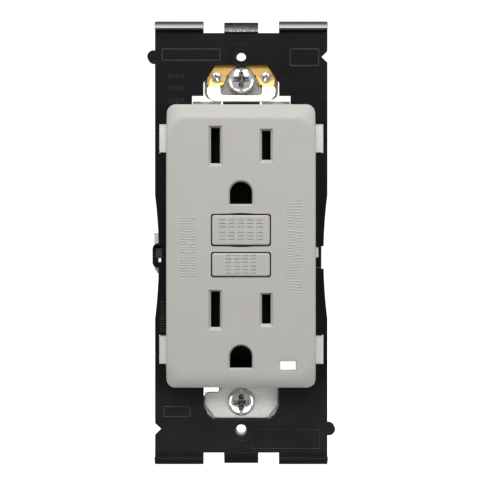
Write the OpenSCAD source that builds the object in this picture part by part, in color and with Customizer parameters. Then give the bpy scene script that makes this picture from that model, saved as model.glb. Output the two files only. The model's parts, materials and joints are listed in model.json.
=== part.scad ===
// Ground-fault outlet on its steel strap, with a black clip-on sub-frame.
// +Z is up, the face looks along -Y and +X is to the right. The origin is
// midway between the two wall-plate holes, on the strap's rear face.

/* [Face] */
// Width of the grey face
face_w = 37.5; // [36:0.1:38]
// Height of the grey face
face_h = 71.4; // [70:0.1:72]
// Distance from the strap's rear face to the front of the face
face_front = 10; // [9.8:0.1:11]
// Height of the face's centre above the origin
face_z = -0.75; // [-1:0.05:0]
// Height of the sloped band along the top edge
top_slope = 3.4; // [2:0.1:4]
// Height of the curved band along the bottom edge
bottom_slope = 3.3; // [2:0.1:4]

/* [Outlets] */
// Centre distance between the two blades of a plug
blade_pitch = 12.7; // [12.6:0.1:12.8]
// Height of the upper blade line above the face's centre
upper_line = 25.1; // [25:0.1:25.5]
// Height of the lower blade line above the face's centre
lower_line = -16.0; // [-16.4:0.1:-15.8]
// Drop from a blade line to its ground hole
ground_drop = 11.88; // [11.8:0.01:11.95]
// Radius of a ground hole's round top
ground_r = 2.68; // [2.6:0.01:2.75]
// Travel of each safety shutter
shutter_travel = 3.6; // [3.4:0.1:3.7]

/* [Buttons] */
// Height of the reset button's centre above the face's centre
reset_line = 3.87; // [3.8:0.01:3.95]
// Height of the test button's centre above the face's centre
test_line = -4.79; // [-4.85:0.01:-4.7]
// Travel of the reset button
reset_travel = 2.0; // [1:0.1:2.2]
// Travel of the test button
test_travel = 1.2; // [0.8:0.1:1.25]

/* [Strap and sub-frame] */
// Thickness of the steel strap
strap_t = 1.2; // [1:0.1:1.4]
// Centre distance of the two box screws
box_pitch = 83.34; // [83.3:0.01:83.4]
// Height of the box screws' midpoint above the plate holes' midpoint
box_rise = 0.45; // [0:0.05:0.6]
// Centre distance of the two tapped wall-plate holes
plate_pitch = 96.82; // [96.8:0.01:96.9]
// Width of the black sub-frame
sub_w = 44.5; // [44:0.1:45]
// Height of the sub-frame without its hooks
sub_h = 108.3; // [107:0.1:109]
// Thickness of the sub-frame
sub_t = 2; // [1.8:0.1:2.1]

/* [Body] */
// Depth of the rear body behind the strap
body_depth = 29; // [28:0.5:32]
// Width of the rear body
body_w = 42; // [41:0.5:42]
// Height of the rear body
body_h = 71.2; // [70.8:0.1:71.3]
// Height of a terminal's centre above or below the origin
terminal_z = 17; // [16.5:0.1:17.2]

/* [Hidden] */
$fn = 48;
// Small overlap that makes cuts run clean through a face
eps = 0.05;

// Depth planes, front to back
face_y = -face_front;
face_wall = 1.8;
cavity_y = face_y + face_wall;
strap_y = -strap_t;
flange_y = strap_y - sub_t;
pad_y = strap_y - 0.8;
floor_y = 8.6;
floor_t = 1.2;
board_y = 14.4;
board_t = 1.6;
back_y = body_depth - 1.8;

// Heights of the features on the face
upper_z = face_z + upper_line;
lower_z = face_z + lower_line;
blade_lines = [upper_z, lower_z];
reset_z = face_z + reset_line;
test_z = face_z + test_line;
blade_x = blade_pitch / 2;
box_zs = [box_rise + box_pitch / 2, box_rise - box_pitch / 2];
plate_z = plate_pitch / 2;

// Openings in the face
neutral_slot = [2.15, 8.7];
hot_slot = [2.1, 7.1];
slot_bevel = 0.7;
bevel_depth = 0.7;
reset_size = [15.0, 8.05];
test_size = [15.0, 6.32];
button_gap = 0.27;
lens_size = [4.2, 2.6];
lens_x = 11.9;
lens_z = face_z - 30.0;
pipe_x = 10.0;

// Rivets of the grounding clip
rivet_x = 6.4;
rivet_z = 42.9;
rivet_r = 0.8;

// Screws that hold the layers together
assembly_x = 15.3;
assembly_zs = [28.8, -26.8];
assembly_r = 1.25;

// Terminals
terminal_y = 11.5;
plate_x = 17.6;
clamp_x = 15.2;
terminal_r = 2.07;
pocket_half = 6.6;
block_half = 7.6;
wire_x = 16.1;
wire_r = 1.35;
wire_dz = 3.6;

// Trip mechanism
stem_r = 1.0;
lifter_y = 10.4;
latch_y = 17.5;
latch_t = 0.8;
coil_y = 21.4;
coil_z0 = 13.5;
coil_z1 = 29.5;
core_z = -17.5;

// Colours that several sub-parts share
face_grey = [0.73, 0.72, 0.69];
button_grey = [0.72, 0.71, 0.68];
spring_steel = [0.80, 0.80, 0.78];
shutter_dark = [0.13, 0.13, 0.14];
zinc = [0.80, 0.80, 0.78];
brass = [0.82, 0.66, 0.38];
nickel = [0.76, 0.75, 0.71];

// ---------- helpers ----------

// A drawing in X and Z, from depth y0 back to depth y1
module slab(y0, y1) {
    translate([0, y1, 0]) rotate([90, 0, 0]) linear_extrude(y1 - y0) children();
}

// A drawing in Y and Z, from x0 to x1
module slice(x0, x1) {
    translate([x0, 0, 0]) rotate([90, 0, 90]) linear_extrude(x1 - x0) children();
}

// A drawing in X and Y, from z0 up to z1
module column(z0, z1) {
    translate([0, 0, z0]) linear_extrude(z1 - z0) children();
}

// A box between two corners
module box(x, y, z) {
    translate([x[0], y[0], z[0]]) cube([x[1] - x[0], y[1] - y[0], z[1] - z[0]]);
}

module rod_x(r, x0, x1, y, z) {
    translate([x0, y, z]) rotate([0, 90, 0]) cylinder(r = r, h = x1 - x0);
}

module rod_y(r, y0, y1, x, z) {
    translate([x, y1, z]) rotate([90, 0, 0]) cylinder(r = r, h = y1 - y0);
}

module rod_z(r, z0, z1, x, y) {
    translate([x, y, z0]) cylinder(r = r, h = z1 - z0);
}

// Rectangle with round corners, about its centre
module round_rect(w, h, r) {
    square([w - 2 * r, h], center = true);
    square([w, h - 2 * r], center = true);
    for (sx = [-1, 1], sz = [-1, 1])
        translate([sx * (w / 2 - r), sz * (h / 2 - r)]) circle(r);
}

// Copies a child to the other side of X as well
module both_sides() {
    children();
    mirror([1, 0, 0]) children();
}

// Close-wound or open coil along +Z, swept as rings of points round a helix
module coil_spring(mean_r, wire_r, length, turns) {
    sides = 6;
    steps = turns * 14;
    rise = (length - 2 * wire_r) / steps;
    function ring(i) = [
        for (s = [0 : sides - 1])
            let (a = i * 360 / 14, b = s * 360 / sides, r = mean_r + wire_r * cos(b))
            [r * cos(a), r * sin(a), wire_r + i * rise + wire_r * sin(b)]
    ];
    points = [for (i = [0 : steps]) each ring(i)];
    walls = [
        for (i = [0 : steps - 1], s = [0 : sides - 1])
            let (t = (s + 1) % sides)
            [i * sides + s, (i + 1) * sides + s, (i + 1) * sides + t, i * sides + t]
    ];
    first = [for (s = [0 : sides - 1]) s];
    last = [for (s = [sides - 1 : -1 : 0]) steps * sides + s];
    polyhedron(points, concat(walls, [first, last]), convexity = 8);
}

// Solid skin through a stack of rings that all have the same number of points
module loft(rings) {
    n = len(rings[0]);
    count = len(rings);
    triangles = [
        for (k = [0 : count - 2], i = [0 : n - 1])
            let (a = k * n + i, b = k * n + (i + 1) % n)
            each [[a, b, a + n], [b, b + n, a + n]]
    ];
    front = [for (i = [n - 1 : -1 : 0]) i];
    back = [for (i = [0 : n - 1]) (count - 1) * n + i];
    polyhedron([for (ring = rings) each ring], concat(triangles, [front, back]));
}

// Rectangular ring of points at depth y, grown by g on every side
function slot_ring(size, g, y) = let (w = size[0] / 2 + g, h = size[1] / 2 + g)
    [[w, y, -h], [w, y, h], [-w, y, h], [-w, y, -h]];

// Ground-pin ring: round top, flat bottom
function ground_ring(g, y) = let (r = ground_r + g, flat = ground_r + g - 0.03) concat(
    [for (i = [0 : 16]) [r * cos(i * 11.25), y, r * sin(i * 11.25)]],
    [[-r, y, -flat], [r, y, -flat]]
);

// An opening through the face with a bevel round its front edge
module slot_cut(size, x, z) {
    translate([x, 0, z]) loft([
        slot_ring(size, slot_bevel * 1.2, face_y - bevel_depth * 0.2),
        slot_ring(size, 0, face_y + bevel_depth),
        slot_ring(size, 0, cavity_y + eps)
    ]);
}

module ground_cut(z) {
    translate([0, 0, z]) loft([
        ground_ring(slot_bevel * 1.2, face_y - bevel_depth * 0.2),
        ground_ring(0, face_y + bevel_depth),
        ground_ring(0, cavity_y + eps)
    ]);
}

// Combination recess of a screw head: a slot with a cross in its middle
module driver_recess(head_r, depth) {
    translate([-0.45, -head_r - 1, -depth]) cube([0.9, 2 * head_r + 2, depth + 1]);
    translate([-1.9, -0.42, -depth - 0.5]) cube([3.8, 0.84, depth + 1.5]);
    translate([-0.42, -1.9, -depth - 0.5]) cube([0.84, 3.8, depth + 1.5]);
    translate([0, 0, -depth - 0.7]) cylinder(r1 = 0.4, r2 = 1.0, h = depth + 1.7);
}

// Screw with a low domed head, its shank along -Z and its top at +height
module pan_screw(head_r, height, shank_r, length, neck = 0) {
    rim = height * 0.55;
    difference() {
        union() {
            rotate_extrude() polygon([
                [0, 0], [head_r, 0], [head_r, rim], [head_r * 0.93, rim + 0.3],
                [head_r * 0.7, height - 0.12], [head_r * 0.35, height], [0, height]
            ]);
            translate([0, 0, -length]) cylinder(r = shank_r, h = length - neck + eps);
            if (neck > 0) translate([0, 0, -neck]) cylinder(r = shank_r - 0.36, h = neck + eps);
        }
        translate([0, 0, height]) driver_recess(head_r, height * 0.42);
    }
}

// ---------- face ----------

// Distances from the front plane where the face's outline is drawn
face_steps = [0, 0.1, 0.25, 0.45, 0.75, 1.2, 1.5];
edge_r = 0.45;
slope_depth = 1.5;
curve_depth = 1.2;
curve_r = (pow(bottom_slope, 2) + pow(curve_depth, 2)) / (2 * curve_depth);

// Inset of each edge of the face at a given depth below the front plane
function side_inset(d) = d < edge_r ? edge_r - sqrt(pow(edge_r, 2) - pow(edge_r - d, 2)) : 0;
function top_inset(d) = top_slope * (1 - min(d / slope_depth, 1));
function bottom_inset(d) =
    d < curve_depth ? bottom_slope - sqrt(pow(curve_r, 2) - pow(curve_r - d, 2)) : 0;
// Corners are wide on the front plane and tighten down the slopes
function corner_r(d) = 2.2 + 3.2 * (1 - min(d / slope_depth, 1));

// Points of a round-cornered outline: four arcs of equal steps
function outline_points(w, top, bottom, r, y) = [
    for (corner = [0 : 3], i = [0 : 8])
        let (
            a = corner * 90 + i * 11.25,
            cx = (corner == 0 || corner == 3 ? 1 : -1) * (w / 2 - r),
            cz = corner < 2 ? top - r : bottom + r
        )
        [cx + r * cos(a), y, cz + r * sin(a)]
];

function face_ring(d, y) = outline_points(
    face_w - 2 * side_inset(d),
    face_z + face_h / 2 - top_inset(d),
    face_z - face_h / 2 + bottom_inset(d),
    corner_r(d), y
);

module face_shell() {
    loft([
        for (d = face_steps) face_ring(d, face_y + d),
        face_ring(slope_depth, flange_y)
    ]);
}

// Button opening with a shallow bulge in the middle of its long edges
module button_opening(size) {
    round_rect(size[0], size[1], 0.6);
    for (s = [-1, 1]) translate([0, s * (size[1] / 2 - 0.3)])
        square([6.4, 1], center = true);
}

module face_cover() {
    wall = 1.5;
    color(face_grey) difference() {
        union() {
            difference() {
                face_shell();
                slab(cavity_y, flange_y + 1) translate([0, face_z])
                    round_rect(face_w - 2 * wall, face_h - 2 * wall, 1.2);
            }
            for (sx = [-1, 1], z = assembly_zs)
                rod_y(2.1, cavity_y - 0.5, flange_y, sx * assembly_x, z);
        }
        for (z = blade_lines) {
            slot_cut(neutral_slot, -blade_x, z);
            slot_cut(hot_slot, blade_x, z);
            ground_cut(z - ground_drop);
        }
        slab(face_y - 1, cavity_y + eps) translate([0, reset_z])
            button_opening(reset_size);
        slab(face_y - 1, cavity_y + eps) translate([0, test_z])
            round_rect(test_size[0], test_size[1], 0.6);
        slab(face_y - 1, cavity_y + eps) translate([lens_x, lens_z])
            square(lens_size, center = true);
        for (sx = [-1, 1], z = assembly_zs)
            rod_y(assembly_r + 0.05, cavity_y + 0.5, flange_y + 1, sx * assembly_x, z);
    }
}

// ---------- buttons ----------

// A button: rounded head, retaining flange behind it and a spring pocket
module button_block(size, z) {
    head_y = face_y - 0.35;
    w = size[0] - 2 * button_gap;
    h = size[1] - 2 * button_gap;
    hull() {
        slab(head_y, head_y + 0.01) translate([0, z]) round_rect(w - 0.5, h - 0.5, 0.4);
        slab(head_y + 0.25, cavity_y + 0.2) translate([0, z]) round_rect(w, h, 0.5);
    }
    slab(cavity_y + 0.1, cavity_y + 1.2) translate([0, z])
        square([size[0] + 1.0, size[1] + 0.9], center = true);
}

module reset_button() {
    color(button_grey) difference() {
        button_block(reset_size, reset_z);
        rod_y(3.0, cavity_y - 0.7, flange_y, 0, reset_z);
        rod_y(stem_r + 0.01, cavity_y - 1.5, flange_y, 0, reset_z);
    }
}

module reset_stem() {
    neck_y = latch_y - reset_travel - 0.3;
    tip_y = latch_y + latch_t + 0.1;
    color([0.75, 0.75, 0.74]) translate([0, 0, reset_z]) rotate([-90, 0, 0])
        rotate_extrude() polygon([
            [0, cavity_y - 1.4], [stem_r, cavity_y - 1.4], [stem_r, neck_y],
            [0.7, neck_y + 0.3], [0.7, tip_y], [stem_r, tip_y], [stem_r, tip_y + 0.6],
            [0.4, tip_y + 1.2], [0, tip_y + 1.2]
        ]);
}

module reset_spring() {
    front = cavity_y - 0.68;
    color(spring_steel) translate([0, flange_y - 0.01, reset_z]) rotate([90, 0, 0])
        coil_spring(2.3, 0.28, flange_y - 0.03 - front, 5);
}

module test_button() {
    color(button_grey) difference() {
        union() {
            button_block(test_size, test_z);
            box([-2, 2], [cavity_y + 1, 0], [test_z - 0.9, test_z + 0.9]);
        }
        difference() {
            rod_y(2.75, cavity_y - 0.4, flange_y, 0, test_z);
            box([-2, 2], [cavity_y - 2, 1], [test_z - 0.9, test_z + 0.9]);
        }
    }
}

module test_spring() {
    front = cavity_y - 0.38;
    color(spring_steel) translate([0, flange_y - 0.01, test_z]) rotate([90, 0, 0])
        coil_spring(2.45, 0.2, flange_y - 0.03 - front, 4);
}

// Leaf that the test button's foot reaches at the end of its travel
module test_contact() {
    leaf_y = test_travel + 0.1;
    color([0.80, 0.62, 0.35]) {
        box([-7, 7], [leaf_y, leaf_y + 0.4], [test_z - 1, test_z + 1]);
        both_sides() box([6.4, 7], [leaf_y + 0.4, floor_y], [test_z - 1, test_z + 1]);
    }
}

module indicator_lens() {
    front = face_y + 0.08;
    color([0.97, 0.97, 0.95]) {
        box([lens_x - 2.05, lens_x + 2.05], [front, cavity_y + 0.1],
            [lens_z - 1.25, lens_z + 1.25]);
        box([pipe_x - 1.1, lens_x + 1.3], [cavity_y + 0.1, cavity_y + 1],
            [lens_z - 1.25, lens_z + 1.25]);
        rod_y(0.9, cavity_y + 0.9, floor_y + 2, pipe_x, lens_z);
    }
}

module status_led() {
    color([0.9, 0.95, 0.88]) {
        rod_y(1.2, board_y - 2.4, board_y - 0.4, pipe_x, lens_z);
        rod_y(1.5, board_y - 0.4, board_y, pipe_x, lens_z);
        translate([pipe_x, board_y - 2.4, lens_z]) sphere(1.2);
    }
}

// ---------- shutters ----------

shutter_half = 5.4;
shutter_in = 1.1 + shutter_travel;
shutter_out = 9.0;

module shutter_frame(z) {
    guide_y = flange_y - 4.4;
    plate_y = flange_y - 1.2;
    difference() {
        box([-11.2, 11.2], [guide_y, flange_y], [z - 6.6, z + 6.6]);
        box([-10.2, 10.2], [guide_y - 1, plate_y], [z - 5.6, z + 5.6]);
        both_sides() box([4.8, 7.9], [plate_y - 1, flange_y + 1], [z - 4.8, z + 4.8]);
    }
}

// Shutter with a ramp that turns a blade's push into a slide to the middle
module shutter(z) {
    rear = flange_y - 1.3;
    front = flange_y - 4.2;
    column(z - shutter_half, z + shutter_half)
        polygon([
            [shutter_in, rear], [shutter_in, front], [shutter_in + 0.5, front],
            [shutter_out, rear - 0.5], [shutter_out, rear]
        ]);
}

module shutter_spring(z) {
    span = 2 * shutter_in - 0.04;
    translate([-span / 2, flange_y - 2.8, z]) rotate([0, 90, 0])
        coil_spring(1.0, 0.18, span, 8);
}

module upper_shutter_frame() {
    color(shutter_dark) shutter_frame(upper_z);
}

module lower_shutter_frame() {
    color(shutter_dark) shutter_frame(lower_z);
}

module upper_hot_shutter() {
    color(shutter_dark) shutter(upper_z);
}

module upper_neutral_shutter() {
    color(shutter_dark) mirror([1, 0, 0]) shutter(upper_z);
}

module lower_hot_shutter() {
    color(shutter_dark) shutter(lower_z);
}

module lower_neutral_shutter() {
    color(shutter_dark) mirror([1, 0, 0]) shutter(lower_z);
}

module upper_shutter_spring() {
    color(spring_steel) shutter_spring(upper_z);
}

module lower_shutter_spring() {
    color(spring_steel) shutter_spring(lower_z);
}

// ---------- housings ----------

tab_zs = [27.0, -27.6];
tab_half = 3.65;

module inner_housing() {
    flange_w = face_w - 0.5;
    flange_h = face_h - 1.0;
    skirt_in = 16.9;
    color([0.87, 0.88, 0.87]) difference() {
        union() {
            slab(flange_y, strap_y) translate([0, face_z]) round_rect(flange_w, flange_h, 2);
            both_sides() box([skirt_in, flange_w / 2], [strap_y - eps, 2.5], [-31, 32]);
            both_sides() for (z = tab_zs)
                box([18, 21.1], [flange_y + 0.3, 0], [z - tab_half, z + tab_half]);
            box([18, 19.95], [flange_y + 0.3, 0], [-3.7, -1.2]);
        }
        for (z = blade_lines) {
            both_sides() box([blade_x - 1.4, blade_x + 1.4], [flange_y - 1, 0],
                [z - 4.9, z + 4.9]);
            rod_y(3.4, flange_y - 1, 0, 0, z - ground_drop);
        }
        rod_y(stem_r + 0.25, flange_y - 1, 0, 0, reset_z);
        box([-2.2, 2.2], [flange_y - 1, 0], [test_z - 1.1, test_z + 1.1]);
        rod_y(1.1, flange_y - 1, 0, pipe_x, lens_z);
        for (sx = [-1, 1], z = assembly_zs)
            rod_y(assembly_r + 0.2, flange_y - 1, 3, sx * assembly_x, z);
    }
}

// Pocket and wire block of one terminal, on the +X side
module terminal_block(z) {
    box([14, body_w / 2 - 0.5], [2.5, body_depth - 1], [z - block_half, z + block_half]);
}

module terminal_cuts(z) {
    box([13, body_w / 2 - 1.8], [3.5, 19.5], [z - pocket_half, z + pocket_half]);
    box([13, body_w / 2 + 1], [5, 18], [z - 4.7, z + 4.7]);
    for (s = [-1, 1]) rod_y(wire_r, 19, body_depth + 1, wire_x, z + s * wire_dz);
}

module rear_body() {
    wall = 1.8;
    edge = 2.5;
    color([0.86, 0.87, 0.86]) difference() {
        union() {
            difference() {
                intersection() {
                    slab(0, body_depth) round_rect(body_w, body_h, 2.5);
                    slice(-body_w, body_w) polygon([
                        [0, -body_h / 2], [body_depth - edge, -body_h / 2],
                        [body_depth, -body_h / 2 + edge], [body_depth, body_h / 2 - edge],
                        [body_depth - edge, body_h / 2], [0, body_h / 2]
                    ]);
                }
                slab(-1, back_y) round_rect(body_w - 2 * wall, body_h - 2 * wall, 1);
            }
            both_sides() for (z = [-terminal_z, terminal_z]) terminal_block(z);
            for (sx = [-1, 1], z = assembly_zs)
                rod_y(2.8, 3, body_depth - 0.5, sx * assembly_x, z);
            both_sides() box([5.4, 12.7], [0, 3], [body_h / 2 - 1, 37.0]);
            slab(0, 14) {
                polygon([[-22.8, 2.6], [-20.5, 2.6], [-20.5, -0.9], [-21.9, -0.9], [-22.8, -0.2]]);
                polygon([[-22.8, -5.1], [-20.5, -5.1], [-20.5, -8.3], [-21.8, -8.1], [-22.8, -6.5]]);
            }
        }
        both_sides() for (z = [-terminal_z, terminal_z]) terminal_cuts(z);
        for (sx = [-1, 1], z = assembly_zs) {
            rod_y(assembly_r + 0.2, 0, body_depth + 1, sx * assembly_x, z);
            rod_y(2.5, body_depth - 3, body_depth + 1, sx * assembly_x, z);
        }
        rod_z(2.5, -body_h / 2 - 1, -body_h / 2 + wall + 1, -14, 6);
    }
}

module assembly_screws() {
    color([0.70, 0.70, 0.68]) for (sx = [-1, 1], z = assembly_zs)
        translate([sx * assembly_x, body_depth - 3, z]) rotate([-90, 0, 0])
            pan_screw(2.3, 1.7, assembly_r, body_depth - 3 - cavity_y - 0.8);
}

// ---------- strap and sub-frame ----------

module top_ear_outline() {
    translate([0, 45]) round_rect(19.1, 15, 1.8);
    translate([-4.8, 33]) square([9.6, 6]);
}

module bottom_ear_outline() {
    translate([0, -45.7]) round_rect(19.8, 13.6, 1.8);
    translate([-5.9, -41]) square([15.8, 8]);
}

// Raised pad of the lower ear, with chamfered corners
module pad_outline() {
    polygon([
        [-6.8, -45.3], [6.8, -45.3], [9.4, -41.8], [9.4, -36.3], [-4.3, -36.3],
        [-5.2, -38.1], [-6.4, -38.9], [-9.4, -38.9], [-9.4, -41.8]
    ]);
}

module mounting_strap() {
    tab_x = [-18, -10];
    tab_z1 = -body_h / 2 - 0.1;
    color([0.66, 0.67, 0.66]) difference() {
        union() {
            slab(strap_y, 0) {
                top_ear_outline();
                bottom_ear_outline();
                translate([-13.8, -35]) square([27.6, 69.2]);
            }
            slab(pad_y, strap_y + eps) pad_outline();
            box(tab_x, [strap_y, 0], [tab_z1 - strap_t, -32]);
            box(tab_x, [strap_y, 11], [tab_z1 - strap_t, tab_z1]);
        }
        for (z = [plate_z, -plate_z]) rod_y(1.45, -4, 1, 0, z);
        for (z = box_zs) slab(-4, 1) translate([0, z]) round_rect(5.6, 4.2, 2.09);
        rod_y(3.62, pad_y - 1, strap_y, 0, box_zs[1]);
        for (z = blade_lines) {
            both_sides() box([4.2, 9.2], [-2, 1], [z - 5.6, z + 5.6]);
            rod_y(3.5, -2, 1, 0, z - ground_drop);
        }
        box([-5.6, 5.6], [-2, 1], [test_z - 2.5, reset_z + 2.5]);
        rod_y(1.3, -2, 1, pipe_x, lens_z);
        for (sx = [-1, 1]) rod_y(rivet_r + 0.05, -2, 1, sx * rivet_x, rivet_z);
        rod_z(2.12, -40, -35, -14, 6);
    }
}

// Brass grounding clip: flat upper part and a loop bent forward below it
module bonding_plate() {
    bend_z = 40.9;
    tilt = -22;
    color([0.80, 0.62, 0.32]) {
        difference() {
            slab(strap_y - 0.6, strap_y) difference() {
                polygon([[-6.8, 46.1], [6.8, 46.1], [8.8, rivet_z], [8.8, bend_z],
                    [-8.8, bend_z], [-8.8, rivet_z]]);
                polygon([[-3.7, 43.6], [-4.3, 41.7], [-5.4, 40], [5.4, 40],
                    [4.3, 41.7], [3.7, 43.6]]);
                translate([0, box_zs[0]]) circle(3.6);
            }
            for (sx = [-1, 1]) rod_y(rivet_r + 0.05, -3, 1, sx * rivet_x, rivet_z);
        }
        translate([0, strap_y - 0.05, bend_z]) rotate([tilt, 0, 0]) slab(-0.55, 0)
            difference() {
                translate([0, -1.95]) round_rect(17.6, 5.9, 2.7);
                translate([-9, 0]) square([18, 2]);
                translate([-5.5, -1.6]) square([11, 4]);
                translate([0, -1.6]) round_rect(11, 3.5, 1.2);
            }
    }
}

module bonding_rivets() {
    color([0.74, 0.74, 0.72]) for (sx = [-1, 1])
        translate([sx * rivet_x, strap_y - 0.6, rivet_z]) rotate([90, 0, 0]) {
            difference() {
                cylinder(r = 1.32, h = 0.5);
                translate([0, 0, 0.2]) rotate(45) {
                    cube([2.0, 0.35, 1], center = true);
                    cube([0.35, 2.0, 1], center = true);
                }
            }
            translate([0, 0, -1.8]) cylinder(r = rivet_r, h = 1.85);
        }
}

// The plain neck ends just behind the retainer, where the thread starts
module box_screw(z) {
    head_r = 3.38;
    head_h = 2.1;
    thread_r = 1.72;
    thread_y = 1.0;
    tip_y = 21;
    translate([0, strap_y, z]) rotate([90, 0, 0])
        pan_screw(head_r, head_h, thread_r, tip_y + strap_y, thread_y - strap_y);
}

module mounting_screw_top() {
    color(zinc) box_screw(box_zs[0]);
}

module mounting_screw_bottom() {
    color(zinc) box_screw(box_zs[1]);
}

module screw_retainers() {
    color([0.93, 0.92, 0.88]) for (z = box_zs)
        difference() {
            slab(0, 0.8) translate([0, z]) square(8, center = true);
            rod_y(1.5, -1, 2, 0, z);
        }
}

waist_z = -3.6;
loop_z = -3.3;

// Wide circles that pull the long rails in at the middle
module waist_cut() {
    waist = 1.0;
    half_chord = 16;
    r = (pow(half_chord, 2) + pow(waist, 2)) / (2 * waist);
    for (s = [-1, 1]) translate([s * (sub_w / 2 - waist + r), waist_z]) circle(r, $fn = 360);
}

module sub_outline() {
    gang_z = 48.1;
    gang_notch = 1.65;
    gang_nose = 1.6;
    difference() {
        union() {
            difference() {
                square([sub_w, sub_h], center = true);
                waist_cut();
            }
            translate([-sub_w / 2 - 0.4, gang_z]) circle(gang_nose);
            translate([sub_w / 2 + 0.4, -gang_z]) circle(gang_nose);
            translate([-20.0, loop_z]) round_rect(5.8, 6.3, 1.4);
        }
        for (s = [-1, 1]) translate([s * sub_w / 2, s * gang_z])
            polygon([[s * 0.1, gang_notch], [-s * gang_notch, 0], [s * 0.1, -gang_notch]]);
        translate([20.65, waist_z - 3.1]) square([2, 5.8]);
    }
}

// Everything that is open in the middle of the sub-frame
module sub_opening() {
    translate([0, face_z]) square([face_w + 0.4, face_h + 0.6], center = true);
    polygon([[-7, 46.2], [7, 46.2], [9.85, 41.6], [9.85, 38.2], [12.8, 38.2],
        [12.8, 33], [-12.8, 33], [-12.8, 38.2], [-9.85, 38.2], [-9.85, 41.6]]);
    polygon([[-7.3, -45.6], [7.3, -45.6], [8.6, -44.6], [9.75, -42.3], [9.75, -34],
        [-9.75, -34], [-9.75, -42.3], [-8.6, -44.6]]);
    for (z = tab_zs) translate([0, z])
        square([42.6, 2 * tab_half + 0.4], center = true);
    translate([18, -3.85]) square([2.1, 2.8]);
    translate([-21.5, -5.1]) square([0.8, 1.1]);
}

// Barb along the end of the frame, drawn in Y and Z for the upper end
module hook_profile() {
    tip = sub_h / 2 + 3.3;
    barb_r = 3.5;
    barb_lean = [20, 85];
    barb_y = flange_y - 1.5;
    centre = [barb_y + barb_r * cos(barb_lean[0]), tip - barb_r * sin(barb_lean[1])];
    curve = [
        for (i = [0 : 8])
            let (a = barb_lean[0] + (barb_lean[1] - barb_lean[0]) * i / 8)
            [centre[0] - barb_r * cos(a), centre[1] + barb_r * sin(a)]
    ];
    polygon(concat(
        [[strap_y, sub_h / 2 - 1], [flange_y, sub_h / 2 - 1], [flange_y, curve[0][1] - 0.1],
            [barb_y, curve[0][1] - 0.1]],
        curve,
        [[strap_y, tip]]
    ));
}

module ramp_profile() {
    tip = sub_h / 2 + 3.05;
    polygon([
        [strap_y, sub_h / 2 - 1], [flange_y, sub_h / 2 - 1], [flange_y, sub_h / 2],
        [flange_y - 0.6, sub_h / 2 + 0.2], [strap_y - 0.5, tip], [strap_y, tip]
    ]);
}

module frame_end() {
    both_sides() slice(9.8, sub_w / 2) hook_profile();
    slice(-4.4, 4.4) ramp_profile();
}

module subplate() {
    panel_x = [3.0, 20.2];
    panel_z = [-53.1, -48.3];
    color([0.10, 0.10, 0.11]) difference() {
        union() {
            slab(flange_y, strap_y) difference() {
                sub_outline();
                sub_opening();
            }
            frame_end();
            mirror([0, 0, 1]) frame_end();
            for (s = [-1, 1]) rod_y(2.9, flange_y - 0.2, strap_y - 1, 0, s * plate_z);
            slice(18.9, 20.65) polygon([
                [flange_y - 0.15, -6.5], [strap_y, -6.5], [strap_y, -5.4], [flange_y + 0.3, -5.4]
            ]);
        }
        difference() {
            box([-22.2, -20.5], [flange_y - 1, flange_y + 1.3], [-3.9, -0.8]);
            slice(-23, -20) polygon([
                [flange_y + 0.1, -4], [strap_y, -4], [strap_y, -0.7], [flange_y + 1.2, -0.7]
            ]);
        }
        for (s = [-1, 1]) rod_y(1.55, -5, 0, 0, s * plate_z);
        difference() {
            box(panel_x, [flange_y - 1, flange_y + 0.12], panel_z);
            box(panel_x + [0.25, -0.25], [flange_y - 2, 0], panel_z + [0.25, -0.25]);
        }
    }
}

// ---------- contacts and terminals ----------

carrier_half = 12.2;
carrier_h = 33.4;

module contact_carrier() {
    wall = 1.2;
    color([0.25, 0.26, 0.28]) difference() {
        box([-carrier_half, carrier_half], [0.1, floor_y + floor_t], [-carrier_h, carrier_h]);
        box([-carrier_half + wall, carrier_half - wall], [-1, floor_y],
            [-carrier_h + wall, carrier_h - wall]);
        rod_y(1.5, 0, 11, 0, reset_z);
        for (z = blade_lines) rod_y(3.4, 0, 11, 0, z - ground_drop);
        rod_y(1.1, 0, 11, pipe_x, lens_z);
        both_sides() {
            for (s = [-1, 1]) box([10, 13], [4.0, 5.2],
                [s * terminal_z - 3.2, s * terminal_z + 3.2]);
            box([9.5, 10.5], [0, 11], [6.4, 9.6]);
        }
    }
}

// Pair of leaves that grips a plug's blade, joined at one end, on the +X side
module blade_grip(z) {
    for (x = [5.0, 7.2]) box([x, x + 0.5], [0.6, 8.2], [z - 4.5, z + 4.6]);
    box([5.0, 10.4], [2.0, 7.6], [z + 4.5, z + 5.1]);
}

module outlet_contacts() {
    for (z = blade_lines) blade_grip(z);
    box([9.6, 10.4], [2.0, 7.6], [lower_z, upper_z + 5.1]);
    box([9.6, 10.4], [7.5, 10.6], [6.5, 9.5]);
    box([8.0, 9.7], [10.0, 10.6], [6.5, 9.5]);
}

module hot_contacts() {
    color(brass) outlet_contacts();
}

module neutral_contacts() {
    color([0.80, 0.68, 0.45]) mirror([1, 0, 0]) outlet_contacts();
}

module ground_contacts() {
    color([0.80, 0.68, 0.42]) for (z = blade_lines) translate([0, 0, z - ground_drop]) {
        both_sides() box([2.55, 4.0], [0, 0.6], [-3.2, 3.2]);
        both_sides() box([2.55, 3.05], [0.5, 6.6], [-2.4, 2.4]);
        box([-4.0, 4.0], [0, 0.6], [2.7, 3.4]);
    }
}

// Terminal plate under a screw head, with its arm to the load contacts
module terminal_plate(z) {
    difference() {
        union() {
            box([plate_x, plate_x + 0.8], [4.2, 18.6], [z - 5, z + 5]);
            children();
        }
        rod_x(terminal_r + 0.18, plate_x - 1, plate_x + 2, terminal_y, z);
    }
}

module load_terminal() {
    terminal_plate(terminal_z)
        box([10.4, plate_x + 0.1], [4.2, 5.0], [terminal_z - 3, terminal_z + 3]);
}

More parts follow.
